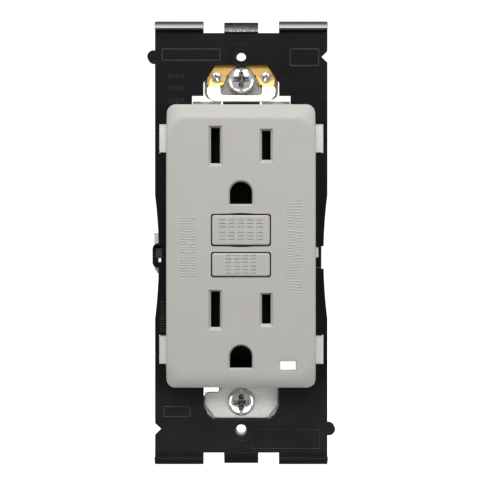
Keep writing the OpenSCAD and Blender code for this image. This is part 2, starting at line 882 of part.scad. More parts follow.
// The line side's arm steps behind the carrier and runs to the switch
module line_terminal() {
    z = -terminal_z;
    terminal_plate(z) {
        box([12.3, plate_x + 0.1], [4.2, 5.0], [z - 3, z + 3]);
        box([12.3, 13.0], [4.2, 10.6], [z - 3, z + 3]);
        box([0.5, 12.4], [10.0, 10.6], [core_z - 1.2, core_z + 1.2]);
        box([8.0, 9.6], [10.0, 10.6], [core_z, -0.6]);
    }
}

module terminal_screw(z) {
    translate([plate_x + 0.8, terminal_y, z]) rotate([0, 90, 0])
        pan_screw(3.8, 2.3, terminal_r, 5.1);
}

module clamp_plate(z) {
    difference() {
        box([clamp_x, clamp_x + 1], [6, 18], [z - 5, z + 5]);
        rod_x(terminal_r + 0.05, clamp_x - 1, clamp_x + 2, terminal_y, z);
    }
}

module line_hot_terminal() {
    color(brass) line_terminal();
}

module line_neutral_terminal() {
    color(nickel) mirror([1, 0, 0]) line_terminal();
}

module load_hot_terminal() {
    color(brass) load_terminal();
}

module load_neutral_terminal() {
    color(nickel) mirror([1, 0, 0]) load_terminal();
}

module line_hot_screw() {
    color(brass) terminal_screw(-terminal_z);
}

module line_neutral_screw() {
    color(nickel) mirror([1, 0, 0]) terminal_screw(-terminal_z);
}

module load_hot_screw() {
    color(brass) terminal_screw(terminal_z);
}

module load_neutral_screw() {
    color(nickel) mirror([1, 0, 0]) terminal_screw(terminal_z);
}

module line_hot_clamp() {
    color(brass) clamp_plate(-terminal_z);
}

module line_neutral_clamp() {
    color(nickel) mirror([1, 0, 0]) clamp_plate(-terminal_z);
}

module load_hot_clamp() {
    color(brass) clamp_plate(terminal_z);
}

module load_neutral_clamp() {
    color(nickel) mirror([1, 0, 0]) clamp_plate(terminal_z);
}

module ground_screw() {
    color([0.22, 0.50, 0.27]) translate([-14, 6, -body_h / 2 - 0.1 - strap_t])
        rotate([180, 0, 0]) pan_screw(3.8, 2.3, terminal_r, 3.2);
}

// ---------- electronics and trip mechanism ----------

module circuit_board() {
    color([0.16, 0.42, 0.25]) difference() {
        box([-12.4, 12.4], [board_y, board_y + board_t], [-33, 33]);
        box([-4.9, 4.9], [board_y - 1, board_y + 3], [reset_z - 5, reset_z + 5]);
        rod_y(3.1, board_y - 1, board_y + 3, 0, core_z);
    }
}

module board_components() {
    front = board_y;
    back = board_y + board_t;
    color([0.13, 0.13, 0.14]) {
        box([-8.5, -3.5], [front - 1.6, front], [15, 23]);
        for (z = [17, 20, 23]) box([3, 6], [front - 0.8, front], [z, z + 1.2]);
        for (z = [-29, -26.5]) box([-9, -5.5], [front - 1, front], [z, z + 1.4]);
        rod_z(2.4, 15, 25, -9, back + 2.45);
        rod_x(1.2, 6.5, 11.5, back + 1.25, 12.5);
        box([6.2, 11.8], [back, back + 6], [-32.4, -29.2]);
    }
}

module surge_absorber() {
    back = board_y + board_t;
    color([0.20, 0.38, 0.62]) {
        rod_x(4.1, 7.4, 10.6, back + 5.3, 22);
        for (z = [20, 24]) rod_y(0.4, back, back + 3, 9, z);
    }
}

module toroid(y0, y1) {
    translate([0, y0, core_z]) rotate([-90, 0, 0]) rotate_extrude()
        translate([6.7, (y1 - y0) / 2]) round_rect(5.4, y1 - y0, 1.2);
}

module sense_transformer() {
    color([0.62, 0.30, 0.16]) toroid(board_y + board_t + 0.4, 20.9);
}

module neutral_transformer() {
    color([0.62, 0.30, 0.16]) toroid(21.3, 25.8);
}

module transformer_case() {
    y0 = board_y + board_t + 0.1;
    y1 = back_y - 0.3;
    color([0.16, 0.16, 0.17]) difference() {
        union() {
            difference() {
                rod_y(10.4, y0, y1, 0, core_z);
                rod_y(9.6, y0 - 1, y1 - 0.8, 0, core_z);
            }
            rod_y(3.7, y0, y1, 0, core_z);
        }
        rod_y(3.0, y0 - 1, y1 + 1, 0, core_z);
    }
}

module through_conductors() {
    color([0.78, 0.47, 0.30]) both_sides()
        box([0.6, 1.9], [10.6, back_y - 0.4], [core_z - 1.1, core_z + 1.1]);
}

module solenoid_bobbin() {
    color([0.90, 0.90, 0.86]) difference() {
        union() {
            rod_z(3.0, coil_z0, coil_z1, 0, coil_y);
            rod_z(5.3, coil_z0, coil_z0 + 1, 0, coil_y);
            rod_z(5.3, coil_z1 - 1, coil_z1, 0, coil_y);
        }
        rod_z(2.3, coil_z0 - 1, coil_z1 - 1, 0, coil_y);
    }
}

module solenoid_coil() {
    color([0.72, 0.38, 0.20]) difference() {
        rod_z(5.0, coil_z0 + 1.1, coil_z1 - 1.1, 0, coil_y);
        rod_z(3.05, coil_z0, coil_z1, 0, coil_y);
    }
}

module solenoid_plunger() {
    color([0.68, 0.68, 0.67]) translate([0, coil_y, 0]) rotate_extrude() polygon([
        [0, 9.25], [1.2, 9.25], [1.2, 10.2], [3.4, 10.2], [3.4, 11.0],
        [2.22, 11.0], [2.22, 26], [0, 26]
    ]);
}

module plunger_spring() {
    color(spring_steel) translate([0, coil_y, 11.02])
        coil_spring(2.8, 0.25, coil_z0 - 11.06, 2);
}

module latch_slider() {
    throw = 1.6;
    half = 1.15;
    color([0.72, 0.72, 0.70]) difference() {
        union() {
            box([-2.6, 2.6], [latch_y, latch_y + latch_t], [-2.5, 9.2]);
            box([-2.6, 2.6], [latch_y, 23.5], [8.4, 9.2]);
        }
        slab(latch_y - 1, latch_y + 2) {
            translate([0, reset_z]) circle(half);
            translate([0, reset_z + throw]) circle(half);
            translate([-half, reset_z]) square([2 * half, throw]);
        }
    }
}

module contact_lifter() {
    color([0.88, 0.86, 0.78]) difference() {
        union() {
            box([-4.4, 4.4], [lifter_y, latch_y - 0.2], [reset_z - 4.4, reset_z + 4.4]);
            box([-10, 10], [11.4, 12.6], [-3.6, 9.8]);
        }
        rod_y(1.3, lifter_y - 1, latch_y + 1, 0, reset_z);
    }
}

module bridge_contacts() {
    color([0.83, 0.62, 0.40]) both_sides() {
        box([8.0, 9.6], [11.0, 11.4], [-2.6, 9.4]);
        for (z = [-1.6, 8.0]) rod_y(0.75, 10.7, 11.05, 8.8, z);
    }
}

face_cover();
inner_housing();
subplate();
mounting_strap();
bonding_plate();
bonding_rivets();
mounting_screw_top();
mounting_screw_bottom();
screw_retainers();
rear_body();
assembly_screws();
reset_button();
reset_stem();
reset_spring();
test_button();
test_spring();
test_contact();
indicator_lens();
status_led();
upper_shutter_frame();
lower_shutter_frame();
upper_hot_shutter();
upper_neutral_shutter();
lower_hot_shutter();
lower_neutral_shutter();
upper_shutter_spring();
lower_shutter_spring();
contact_carrier();
hot_contacts();
neutral_contacts();
ground_contacts();
line_hot_terminal();
line_neutral_terminal();
load_hot_terminal();
load_neutral_terminal();
line_hot_screw();
line_neutral_screw();
load_hot_screw();
load_neutral_screw();
line_hot_clamp();
line_neutral_clamp();
load_hot_clamp();
load_neutral_clamp();
ground_screw();
circuit_board();
board_components();
surge_absorber();
sense_transformer();
neutral_transformer();
transformer_case();
through_conductors();
solenoid_bobbin();
solenoid_coil();
solenoid_plunger();
plunger_spring();
latch_slider();
contact_lifter();
bridge_contacts();
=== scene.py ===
"""Looks of a ground-fault outlet on its strap and sub-frame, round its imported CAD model."""

import json
import math

import bmesh
import bpy
from mathutils import Matrix, Vector

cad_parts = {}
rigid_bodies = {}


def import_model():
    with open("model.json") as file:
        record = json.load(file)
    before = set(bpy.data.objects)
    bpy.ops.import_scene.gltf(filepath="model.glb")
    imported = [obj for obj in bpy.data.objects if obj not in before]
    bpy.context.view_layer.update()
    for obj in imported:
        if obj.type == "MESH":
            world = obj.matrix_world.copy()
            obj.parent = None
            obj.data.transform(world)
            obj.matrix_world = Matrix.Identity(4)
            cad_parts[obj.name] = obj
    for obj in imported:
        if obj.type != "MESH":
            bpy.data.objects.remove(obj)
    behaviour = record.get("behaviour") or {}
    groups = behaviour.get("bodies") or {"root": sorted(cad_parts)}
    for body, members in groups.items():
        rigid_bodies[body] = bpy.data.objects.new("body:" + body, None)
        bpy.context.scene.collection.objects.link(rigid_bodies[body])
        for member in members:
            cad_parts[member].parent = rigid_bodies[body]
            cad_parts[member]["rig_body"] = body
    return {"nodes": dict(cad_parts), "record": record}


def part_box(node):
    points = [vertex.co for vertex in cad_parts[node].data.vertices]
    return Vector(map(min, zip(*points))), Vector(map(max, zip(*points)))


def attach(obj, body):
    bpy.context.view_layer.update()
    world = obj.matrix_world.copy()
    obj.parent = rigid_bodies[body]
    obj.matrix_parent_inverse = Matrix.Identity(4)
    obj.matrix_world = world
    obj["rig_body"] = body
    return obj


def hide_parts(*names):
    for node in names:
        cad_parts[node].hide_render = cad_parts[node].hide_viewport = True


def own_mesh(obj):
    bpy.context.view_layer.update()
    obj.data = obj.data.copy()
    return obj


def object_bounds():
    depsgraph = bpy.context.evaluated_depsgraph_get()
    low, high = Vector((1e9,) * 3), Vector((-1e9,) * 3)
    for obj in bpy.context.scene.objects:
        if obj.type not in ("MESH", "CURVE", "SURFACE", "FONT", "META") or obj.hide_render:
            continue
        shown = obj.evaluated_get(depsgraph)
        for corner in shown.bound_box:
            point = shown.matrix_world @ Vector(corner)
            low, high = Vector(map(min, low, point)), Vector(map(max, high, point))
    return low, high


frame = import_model()
cad_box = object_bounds()

MM = 0.001
ROOT = "root"
SCENE = bpy.context.scene
NODE_SLOT = {p["node"]: p["material_slot"] for p in frame["record"]["subparts"]}


# ---------- places: X runs across the face, Y from front to back, Z up ----------


def middle(node):
    """Centre of a CAD node's box."""
    lo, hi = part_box(node)
    return (lo + hi) / 2


FACE_LO, FACE_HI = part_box("face_cover")
FACE_W = FACE_HI.x - FACE_LO.x
FACE_Y = FACE_LO.y
FACE_BACK = FACE_HI.y
FLANGE_Y = FACE_BACK  # the face's rim rests on the front of the sub-frame
STRAP_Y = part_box("bonding_plate")[1].y
SUB_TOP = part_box("subplate")[1].z
REAR_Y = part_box("rear_body")[1].y
WALL = 1.8 * MM  # thickness of the face

BLADE_LINES = [
    (lo.z + hi.z) / 2 for lo, hi in (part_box("upper_shutter_frame"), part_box("lower_shutter_frame"))
]
BLADE_X = 6.35 * MM
LONG_SLOT = (2.3 * MM, 8.9 * MM)
SHORT_SLOT = (2.2 * MM, 7.3 * MM)
GROUND_DROP = 11.88 * MM
GROUND_R = 2.78 * MM

RESET = middle("reset_button")
TEST = middle("test_button")
RESET_OPENING = (15.0 * MM, 8.05 * MM)
TEST_OPENING = (15.0 * MM, 6.32 * MM)
LENS_LO, LENS_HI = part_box("indicator_lens")
LENS_X = LENS_HI.x - 2.05 * MM
LENS_Z = (LENS_LO.z + LENS_HI.z) / 2
LENS_OPENING = (4.2 * MM, 2.6 * MM)

BOX_SCREWS = ("mounting_screw_top", "mounting_screw_bottom")
SCREW_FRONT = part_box(BOX_SCREWS[0])[0].y
BOX_RISE = (middle(BOX_SCREWS[0]).z + middle(BOX_SCREWS[1]).z) / 2
BOX_HALF = (middle(BOX_SCREWS[0]).z - middle(BOX_SCREWS[1]).z) / 2
BOX_PITCH = 0.79 * MM
PLATE_HOLE_Z = 48.41 * MM
LOOP_TOP = 40.5 * MM  # where the bonding plate's raised loop ends


# ---------- node materials ----------


class Shader:
    """Small helper that adds nodes to one material. Its coordinates are the frame's, in metres."""

    def __init__(self, name):
        self.material = bpy.data.materials.new(name)
        self.material.use_nodes = True
        self.nodes = self.material.node_tree.nodes
        self.links = self.material.node_tree.links
        self.surface = self.nodes["Principled BSDF"]
        self.place = self.add("ShaderNodeTexCoord").outputs["Object"]

    def add(self, kind, **values):
        """Adds a node; each value sets the node's own property or else its input of that name."""
        node = self.nodes.new(kind)
        for key, value in values.items():
            if hasattr(node, key):
                setattr(node, key, value)
            else:
                node.inputs[key.replace("_", " ")].default_value = value
        return node

    def noise(self, size, detail=3.0, roughness=0.55, stretch=(1, 1, 1)):
        """Noise whose grains are about size metres, optionally stretched along an axis."""
        mapping = self.add("ShaderNodeMapping")
        mapping.inputs["Scale"].default_value = [1 / (size * s) for s in stretch]
        self.links.new(self.place, mapping.inputs["Vector"])
        node = self.add("ShaderNodeTexNoise", Scale=1.0, Detail=detail, Roughness=roughness)
        self.links.new(mapping.outputs["Vector"], node.inputs["Vector"])
        return node.outputs["Fac"]

    def crystals(self, size):
        """Distance from the middle of the nearest of many crystals of about size metres."""
        node = self.add("ShaderNodeTexVoronoi", Scale=1 / size, Randomness=1.0)
        self.links.new(self.place, node.inputs["Vector"])
        return node.outputs["Distance"]

    def ramp(self, source, stops):
        node = self.add("ShaderNodeValToRGB")
        elements = node.color_ramp.elements
        while len(elements) > len(stops):
            elements.remove(elements[-1])
        while len(elements) < len(stops):
            elements.new(1.0)
        for element, (position, colour) in zip(elements, stops):
            element.position = position
            element.color = (*colour, 1)
        self.links.new(source, node.inputs["Fac"])
        return node.outputs["Color"]

    def shades(self, source, low, high, start=0.3, end=0.7):
        """Colour that goes from low to high as the source goes from start to end."""
        return self.ramp(source, [(start, low), (end, high)])

    def mix(self, factor, a, b, blend="MIX"):
        node = self.add("ShaderNodeMix", data_type="RGBA", blend_type=blend)
        if isinstance(factor, float):
            node.inputs[0].default_value = factor
        else:
            self.links.new(factor, node.inputs[0])
        self.links.new(a, node.inputs[6])
        self.links.new(b, node.inputs[7])
        return node.outputs[2]

    def span(self, source, low, high, start=0.3, end=0.7):
        """Maps a noise value from start..end to low..high."""
        node = self.add("ShaderNodeMapRange")
        node.inputs["From Min"].default_value = start
        node.inputs["From Max"].default_value = end
        node.inputs["To Min"].default_value = low
        node.inputs["To Max"].default_value = high
        self.links.new(source, node.inputs["Value"])
        return node.outputs["Result"]

    def level(self, source, low, high):
        """0 at low and 1 at high, which may be the smaller of the two."""
        return self.span(source, 0.0, 1.0, low, high)

    def within(self, axis, low, high, soft=0.05 * MM):
        """1 where the axis lies between low and high."""
        return self.times(self.level(axis, low, low + soft), self.level(axis, high, high - soft))

    def maths(self, operation, *values):
        """Math node on sockets and numbers."""
        node = self.add("ShaderNodeMath", operation=operation)
        for socket, value in zip(node.inputs, values):
            if isinstance(value, float):
                socket.default_value = value
            else:
                self.links.new(value, socket)
        return node.outputs[0]

    def times(self, a, b):
        return self.maths("MULTIPLY", a, b)

    def axes(self):
        node = self.add("ShaderNodeSeparateXYZ")
        self.links.new(self.place, node.inputs[0])
        return node.outputs

    def bump(self, height, depth, below=None):
        node = self.add("ShaderNodeBump", Distance=depth, Strength=1.0)
        self.links.new(height, node.inputs["Height"])
        if below is not None:
            self.links.new(below, node.inputs["Normal"])
        return node.outputs["Normal"]

    def colour(self, socket):
        self.links.new(socket, self.surface.inputs["Base Color"])

    def roughness(self, socket):
        self.links.new(socket, self.surface.inputs["Roughness"])

    def normal(self, socket):
        self.links.new(socket, self.surface.inputs["Normal"])

    def fixed(self, **values):
        for key, value in values.items():
            self.surface.inputs[key.replace("_", " ")].default_value = value


def tinted(colour, factor):
    return tuple(min(1.0, c * factor) for c in colour)


def grey(value):
    return (value, value, value)


def moulded(name, colour, rough, spread, depth=0.004 * MM, shade_gaps=(), **fixed):
    """Injection-moulded plastic: broad faint mottling and a fine satin grain.

    Each gap entry is painted shade that darkens a narrow gap or hole: the depth where that
    starts, how soon it is full, and the half-width and heights it lies within.
    """
    s = Shader(name)
    broad = s.noise(7 * MM, detail=2.0)
    fine = s.noise(0.16 * MM, detail=2.0)
    low, high = tinted(colour, 1 - spread), tinted(colour, 1 + spread)
    colours = s.mix(0.35, s.shades(broad, low, high, 0.35, 0.65), s.shades(fine, low, high))
    x, y, z = s.axes()
    # painted shade: each gap turns near black with depth behind the face's front
    for start, fade, half, bottom, top in shade_gaps:
        inside = s.times(s.within(x, -half, half), s.within(z, bottom, top))
        dark = s.times(inside, s.level(y, start, start + fade))
        colours = s.mix(dark, colours, s.shades(broad, grey(0.002), grey(0.004)))
    s.colour(colours)
    s.roughness(s.span(s.noise(1.2 * MM), *rough))
    s.normal(s.bump(fine, depth))
    s.fixed(**fixed)
    return s.material


def metal(name, colour, rough, spread=0.06, depth=0.003 * MM, share=1.0, patches=()):
    """Plated or rolled metal; share is how metallic it looks.

    Each of the patches has a mask and the two colours that show where it is 1.
    """
    s = Shader(name)
    broad = s.noise(3 * MM)
    fine = s.noise(0.5 * MM)
    low, high = tinted(colour, 1 - spread), tinted(colour, 1 + spread)
    colours = s.mix(0.5, s.shades(broad, low, high), s.shades(fine, low, high))
    for mask, dull, bright in patches:
        colours = s.mix(mask(s), colours, s.shades(fine, dull, bright, 0.4, 0.6))
    s.colour(colours)
    s.roughness(s.span(fine, *rough))
    s.normal(s.bump(fine, depth))
    s.fixed(Metallic=share)
    return s.material


def loop_highlight(s):
    """Where a painted highlight makes the bonding plate's raised loop, below its flat part, near
    white.
    """
    x, y, z = s.axes()
    return s.within(z, FACE_HI.z + 0.5 * MM, LOOP_TOP, soft=0.2 * MM)


def ground_contact_shade(s):
    """Painted shade on the ground contacts behind the two holes, which makes them near black."""
    x, y, z = s.axes()
    half_x, half_z = 4.2 * MM, 3.6 * MM
    holes = [line - GROUND_DROP for line in BLADE_LINES]
    upper, lower = [s.within(z, hole - half_z, hole + half_z) for hole in holes]
    return s.times(s.within(x, -half_x, half_x), s.maths("ADD", upper, lower))


def recess_shade(s):
    """Painted shade inside the recesses in the heads of the two box screws."""
    x, y, z = s.axes()
    off = s.maths("SUBTRACT", s.maths("ABSOLUTE", s.maths("SUBTRACT", z, BOX_RISE)), BOX_HALF)
    spot = s.add("ShaderNodeCombineXYZ")
    s.links.new(x, spot.inputs[0])
    s.links.new(off, spot.inputs[1])
    reach = s.add("ShaderNodeVectorMath", operation="LENGTH")
    s.links.new(spot.outputs[0], reach.inputs[0])
    return s.times(
        s.level(reach.outputs["Value"], 2.2 * MM, 2.1 * MM),
        s.within(y, SCREW_FRONT + 0.3 * MM, SCREW_FRONT + 2.0 * MM, soft=0.2 * MM),
    )


def galvanised():
    """Zinc-coated steel: pale crystals and dark pits, darker and browner above 30 mm from a stain and
    painted shade, and painted black shade in the gap at the face's top edge.
    """
    s = Shader("galvanised_steel")
    pits = s.noise(0.34 * MM, detail=4.0, roughness=0.7)
    crystals = s.shades(s.crystals(0.55 * MM), (1.0, 1.0, 0.95), (0.88, 0.88, 0.83), 0.0, 1.0)
    mottled = s.mix(0.45, crystals, s.shades(s.noise(4 * MM), (0.9, 0.9, 0.85), (1.0, 1.0, 0.96)))
    pitted = s.shades(pits, (0.35, 0.35, 0.33), grey(1.0), 0.30, 0.40)
    # a brown stain, and painted shade under the bonding plate's loop, darken the strap above 30 mm
    stain_and_shade_above = s.shades(pits, (0.16, 0.14, 0.12), (0.42, 0.41, 0.39), 0.35, 0.6)
    x, y, z = s.axes()
    steel_by_height = s.mix(
        s.level(z, 30 * MM, 34 * MM), s.mix(1.0, mottled, pitted, blend="MULTIPLY"), stain_and_shade_above
    )
    # painted shade: the strap is near black in the gap at the face's top edge
    gap_shade = s.within(z, FACE_HI.z - 2 * MM, FACE_HI.z + 2.3 * MM, soft=0.3 * MM)
    black = s.shades(pits, (0.006, 0.005, 0.004), (0.02, 0.017, 0.013), 0.35, 0.6)
    s.colour(s.mix(gap_shade, steel_by_height, black))
    s.roughness(s.span(pits, 0.62, 0.42))
    s.normal(s.bump(pits, 0.02 * MM))
    s.fixed(Metallic=0.15)
    return s.material


def black_moulding():
    """Black plastic with faint running lines and pale dust specks; painted light makes its lower end
    lighter, and painted highlights lie on its raised marks and top hooks.
    """
    s = Shader("black_plastic")
    broad = s.noise(6 * MM)
    lines = s.noise(0.35 * MM, detail=2.0, stretch=(30, 30, 1))
    grain = s.noise(0.12 * MM)
    specks = s.noise(0.22 * MM, detail=2.0)
    mottle_noise = s.noise(0.5 * MM, detail=4.0, roughness=0.7)
    x, y, z = s.axes()
    base = s.shades(broad, (0.0035, 0.0036, 0.0044), (0.0060, 0.0062, 0.0072))
    # painted light: the black turns lighter towards the lower end
    lower_end_light = s.shades(broad, (0.013, 0.013, 0.0135), (0.018, 0.018, 0.0185))
    base = s.mix(s.level(z, -34 * MM, -40 * MM), base, lower_end_light)
    # painted highlight: the sub-frame's raised marks are lighter, mottled by the specks
    ridges = s.within(y, FLANGE_Y - 0.16 * MM, FLANGE_Y - 0.04 * MM, soft=0.02 * MM)
    ridge_highlight = s.shades(specks, (0.02, 0.02, 0.021), (0.075, 0.075, 0.078), 0.4, 0.6)
    base = s.mix(ridges, base, ridge_highlight)
    dust = s.shades(specks, grey(0.0), grey(0.05), 0.78, 0.84)
    plain = s.mix(1.0, base, dust, blend="ADD")

    # The two outer hooks have barbs, and the middle one between them has a ramp; a painted highlight
    # on each grows lighter towards its lower edge, mottled on the ramp.
    barbs = s.level(z, SUB_TOP - 2.45 * MM, SUB_TOP - 2.35 * MM)
    barb_highlight = s.ramp(
        s.level(z, SUB_TOP - 0.3 * MM, SUB_TOP - 2.2 * MM),
        [(0.0, grey(0.004)), (0.45, grey(0.10)), (1.0, grey(0.62))],
    )
    ramp = s.times(
        s.within(x, -5.6 * MM, 5.6 * MM), s.level(z, SUB_TOP - 3.2 * MM, SUB_TOP - 3.1 * MM)
    )
    ramp_highlight_fade = s.ramp(
        s.level(z, SUB_TOP - 0.5 * MM, SUB_TOP - 3.0 * MM),
        [(0.0, grey(0.01)), (0.5, grey(0.12)), (1.0, grey(0.62))],
    )
    ramp_highlight_mottle = s.shades(mottle_noise, grey(0.25), grey(1.0), 0.42, 0.58)
    ramp_highlight = s.mix(1.0, ramp_highlight_fade, ramp_highlight_mottle, blend="MULTIPLY")
    s.colour(s.mix(ramp, s.mix(barbs, plain, barb_highlight), ramp_highlight))
    s.roughness(s.span(lines, 0.30, 0.42))
    s.normal(s.bump(grain, 0.004 * MM, below=s.bump(lines, 0.0015 * MM)))
    s.fixed(Specular_IOR_Level=0.14)
    return s.material


def lens_plastic():
    """Milky light-pipe window with a painted glow, and painted shade that makes it greyer at its
    edge.
    """
    s = Shader("clear_lens")
    cloud = s.noise(1.3 * MM)
    x, y, z = s.axes()
    edge = 0.45 * MM
    inner = s.times(
        s.within(x, LENS_LO.x, LENS_HI.x, soft=edge), s.within(z, LENS_LO.z, LENS_HI.z, soft=edge)
    )
    # painted shade: a greyer band round the window's edge
    rim = s.shades(cloud, (0.30, 0.30, 0.29), (0.36, 0.36, 0.35))
    painted_glow = s.mix(inner, rim, s.shades(cloud, (0.93, 0.93, 0.91), (1.0, 1.0, 0.99)))
    s.colour(painted_glow)
    # painted glow: the lens emits its own colour
    s.links.new(painted_glow, s.surface.inputs["Emission Color"])
    s.fixed(Emission_Strength=0.35, Roughness=0.25)
    return s.material


def laminate():
    """Green solder-masked board with a faint weave."""
    s = Shader("circuit_laminate")
    weave = s.noise(0.5 * MM, detail=1.0, stretch=(4, 1, 1))
    s.colour(s.shades(weave, (0.01, 0.10, 0.035), (0.02, 0.15, 0.055), 0.35, 0.65))
    s.normal(s.bump(weave, 0.01 * MM))
    s.fixed(Roughness=0.35)
    return s.material


def winding():
    """Enamelled copper wire laid side by side."""
    s = Shader("copper_winding")
    turns = s.noise(0.3 * MM, detail=1.0, stretch=(6, 6, 1))
    s.colour(s.shades(turns, (0.30, 0.09, 0.03), (0.62, 0.24, 0.10), 0.35, 0.65))
    s.roughness(s.span(turns, 0.25, 0.4))
    s.normal(s.bump(turns, 0.05 * MM))
    s.fixed(Metallic=0.9)
    return s.material


# Painted shade in the gaps round the buttons and inside the blade and ground holes.
BUTTON_GAP_SHADE = (FACE_Y + 0.03 * MM, 0.2 * MM, 7.9 * MM, TEST.z - 3.6 * MM, RESET.z + 4.7 * MM)
HOLE_SHADE = (
    FACE_Y + 0.75 * MM,
    0.25 * MM,
    FACE_HI.x - 2 * MM,
    FACE_LO.z + 2 * MM,
    FACE_HI.z - 3 * MM,
)
BRASS_PATCHES = [
    # painted highlight: the raised loop is coloured near white
    (loop_highlight, (0.95, 0.90, 0.78), (0.99, 0.94, 0.82)),
    # painted shade: the ground contacts behind the holes are near black
    (ground_contact_shade, (0.006, 0.005, 0.004), (0.012, 0.010, 0.008)),
]
# painted shade: the screw heads' recesses are mottled near black
ZINC_PATCHES = [(recess_shade, (0.015, 0.016, 0.012), (0.50, 0.51, 0.45))]
MATERIALS = {
    "grey_face": moulded(
        "grey_face",
        (0.521, 0.506, 0.474),
        rough=(0.42, 0.55),
        spread=0.02,
        shade_gaps=[BUTTON_GAP_SHADE, HOLE_SHADE],
        Specular_IOR_Level=0.38,
    ),
    "grey_button": moulded(
        "grey_button", (0.525, 0.512, 0.479), rough=(0.36, 0.48), spread=0.02, shade_gaps=[BUTTON_GAP_SHADE]
    ),
    "white_housing": moulded("white_housing", (0.85, 0.86, 0.85), rough=(0.4, 0.55), spread=0.025),
    "black_plastic": black_moulding(),
    "galvanised_steel": galvanised(),
    "brass_plate": metal(
        "brass_plate",
        (0.78, 0.49, 0.145),
        rough=(0.36, 0.42),
        spread=0.03,
        depth=0.0006 * MM,
        share=0.75,
        patches=BRASS_PATCHES,
    ),
    "zinc_plate": metal(
        "zinc_plate",
        (0.93, 0.94, 0.95),
        rough=(0.12, 0.20),
        spread=0.05,
        share=0.7,
        patches=ZINC_PATCHES,
    ),
    "nickel_plate": metal(
        "nickel_plate", (0.66, 0.64, 0.58), rough=(0.24, 0.32), spread=0.04, depth=0.0008 * MM
    ),
    "white_fibre": moulded(
        "white_fibre", (0.80, 0.79, 0.74), rough=(0.6, 0.75), spread=0.05, depth=0.01 * MM
    ),
    "spring_steel": metal("spring_steel", (0.55, 0.55, 0.56), rough=(0.2, 0.3)),
    "clear_lens": lens_plastic(),
    "dark_plastic": moulded(
        "dark_plastic",
        (0.004, 0.004, 0.0045),
        rough=(0.6, 0.75),
        spread=0.2,
        Specular_IOR_Level=0.08,
    ),
    "green_plate": metal("green_plate", (0.05, 0.30, 0.09), rough=(0.25, 0.38)),
    "circuit_laminate": laminate(),
    "blue_coating": moulded("blue_coating", (0.03, 0.09, 0.30), rough=(0.25, 0.35), spread=0.1),
    "copper_winding": winding(),
}


# ---------- mesh helpers ----------


def new_object(name, mesh, slot, body=ROOT, stand_for=()):
    """Links a mesh as a piece with a record slot's finish, on its body."""
    piece = bpy.data.objects.new(name, mesh)
    SCENE.collection.objects.link(piece)
    mesh.materials.clear()
    mesh.materials.append(MATERIALS[slot])
    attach(piece, body)
    if stand_for:
        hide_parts(*stand_for)
    return piece


def cutter(mesh):
    """A mesh to be taken out of a piece by carve."""
    tool = bpy.data.objects.new("cutter", mesh)
    SCENE.collection.objects.link(tool)
    return tool


def shade(mesh, angle=30):
    """Smooth shading that breaks at edges sharper than the angle in degrees."""
    mesh.shade_smooth()
    mesh.set_sharp_from_angle(angle=math.radians(angle))


def mesh_from(name, verts, faces, smooth=30):
    mesh = bpy.data.meshes.new(name)
    mesh.from_pydata(verts, [], faces)
    bm = bmesh.new()
    bm.from_mesh(mesh)
    bmesh.ops.recalc_face_normals(bm, faces=bm.faces)
    bm.to_mesh(mesh)
    bm.free()
    shade(mesh, smooth)
    return mesh


def keep_flat(piece):
    """Lets a piece's large faces set its normals, so that they look flat."""
    weighted = piece.modifiers.new("normals", "WEIGHTED_NORMAL")
    weighted.keep_sharp = True
    return piece


def soften(piece, width):
    """Rounds a piece's edges and keeps its flat faces flat."""
    bevel = piece.modifiers.new("edges", "BEVEL")
    bevel.width = width
    bevel.segments = 2
    bevel.limit_method = "ANGLE"
    bevel.angle_limit = math.radians(35)
    bevel.use_clamp_overlap = True
    return keep_flat(piece)


def finished(node, width):
    """A welded copy of a CAD node with rounded edges, which stands for it."""
    source = frame["nodes"][node]
    bm = bmesh.new()
    bm.from_mesh(source.data)
    bmesh.ops.remove_doubles(bm, verts=bm.verts, dist=0.0005 * MM)
    bmesh.ops.dissolve_limit(bm, angle_limit=math.radians(0.3), verts=bm.verts, edges=bm.edges)
    verts = [v.co.copy() for v in bm.verts]
    faces = [[v.index for v in f.verts] for f in bm.faces]
    bm.free()
    mesh = mesh_from(node, verts, faces)
    piece = new_object(f"{node}_finished", mesh, NODE_SLOT[node], source["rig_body"], [node])
    return soften(piece, width)


def box_mesh(name, lo, hi):
    verts = [(x, y, z) for x in (lo[0], hi[0]) for y in (lo[1], hi[1]) for z in (lo[2], hi[2])]
    faces = [(0, 1, 3, 2), (4, 6, 7, 5), (0, 4, 5, 1), (2, 3, 7, 6), (0, 2, 6, 4), (1, 5, 7, 3)]
    return mesh_from(name, verts, faces)


def loft_mesh(name, rings, smooth=30):
    """Closed skin through rings of equal point counts."""
    n = len(rings[0])
    verts = [p for ring in rings for p in ring]
    faces = [
        (k * n + i, k * n + (i + 1) % n, (k + 1) * n + (i + 1) % n, (k + 1) * n + i)
        for k in range(len(rings) - 1)
        for i in range(n)
    ]
    faces.append(tuple(range(n))[::-1])
    faces.append(tuple((len(rings) - 1) * n + i for i in range(n)))
    return mesh_from(name, verts, faces, smooth)


BULGE_HALF = 0.24  # half of what a bulge takes up, as a share of the width


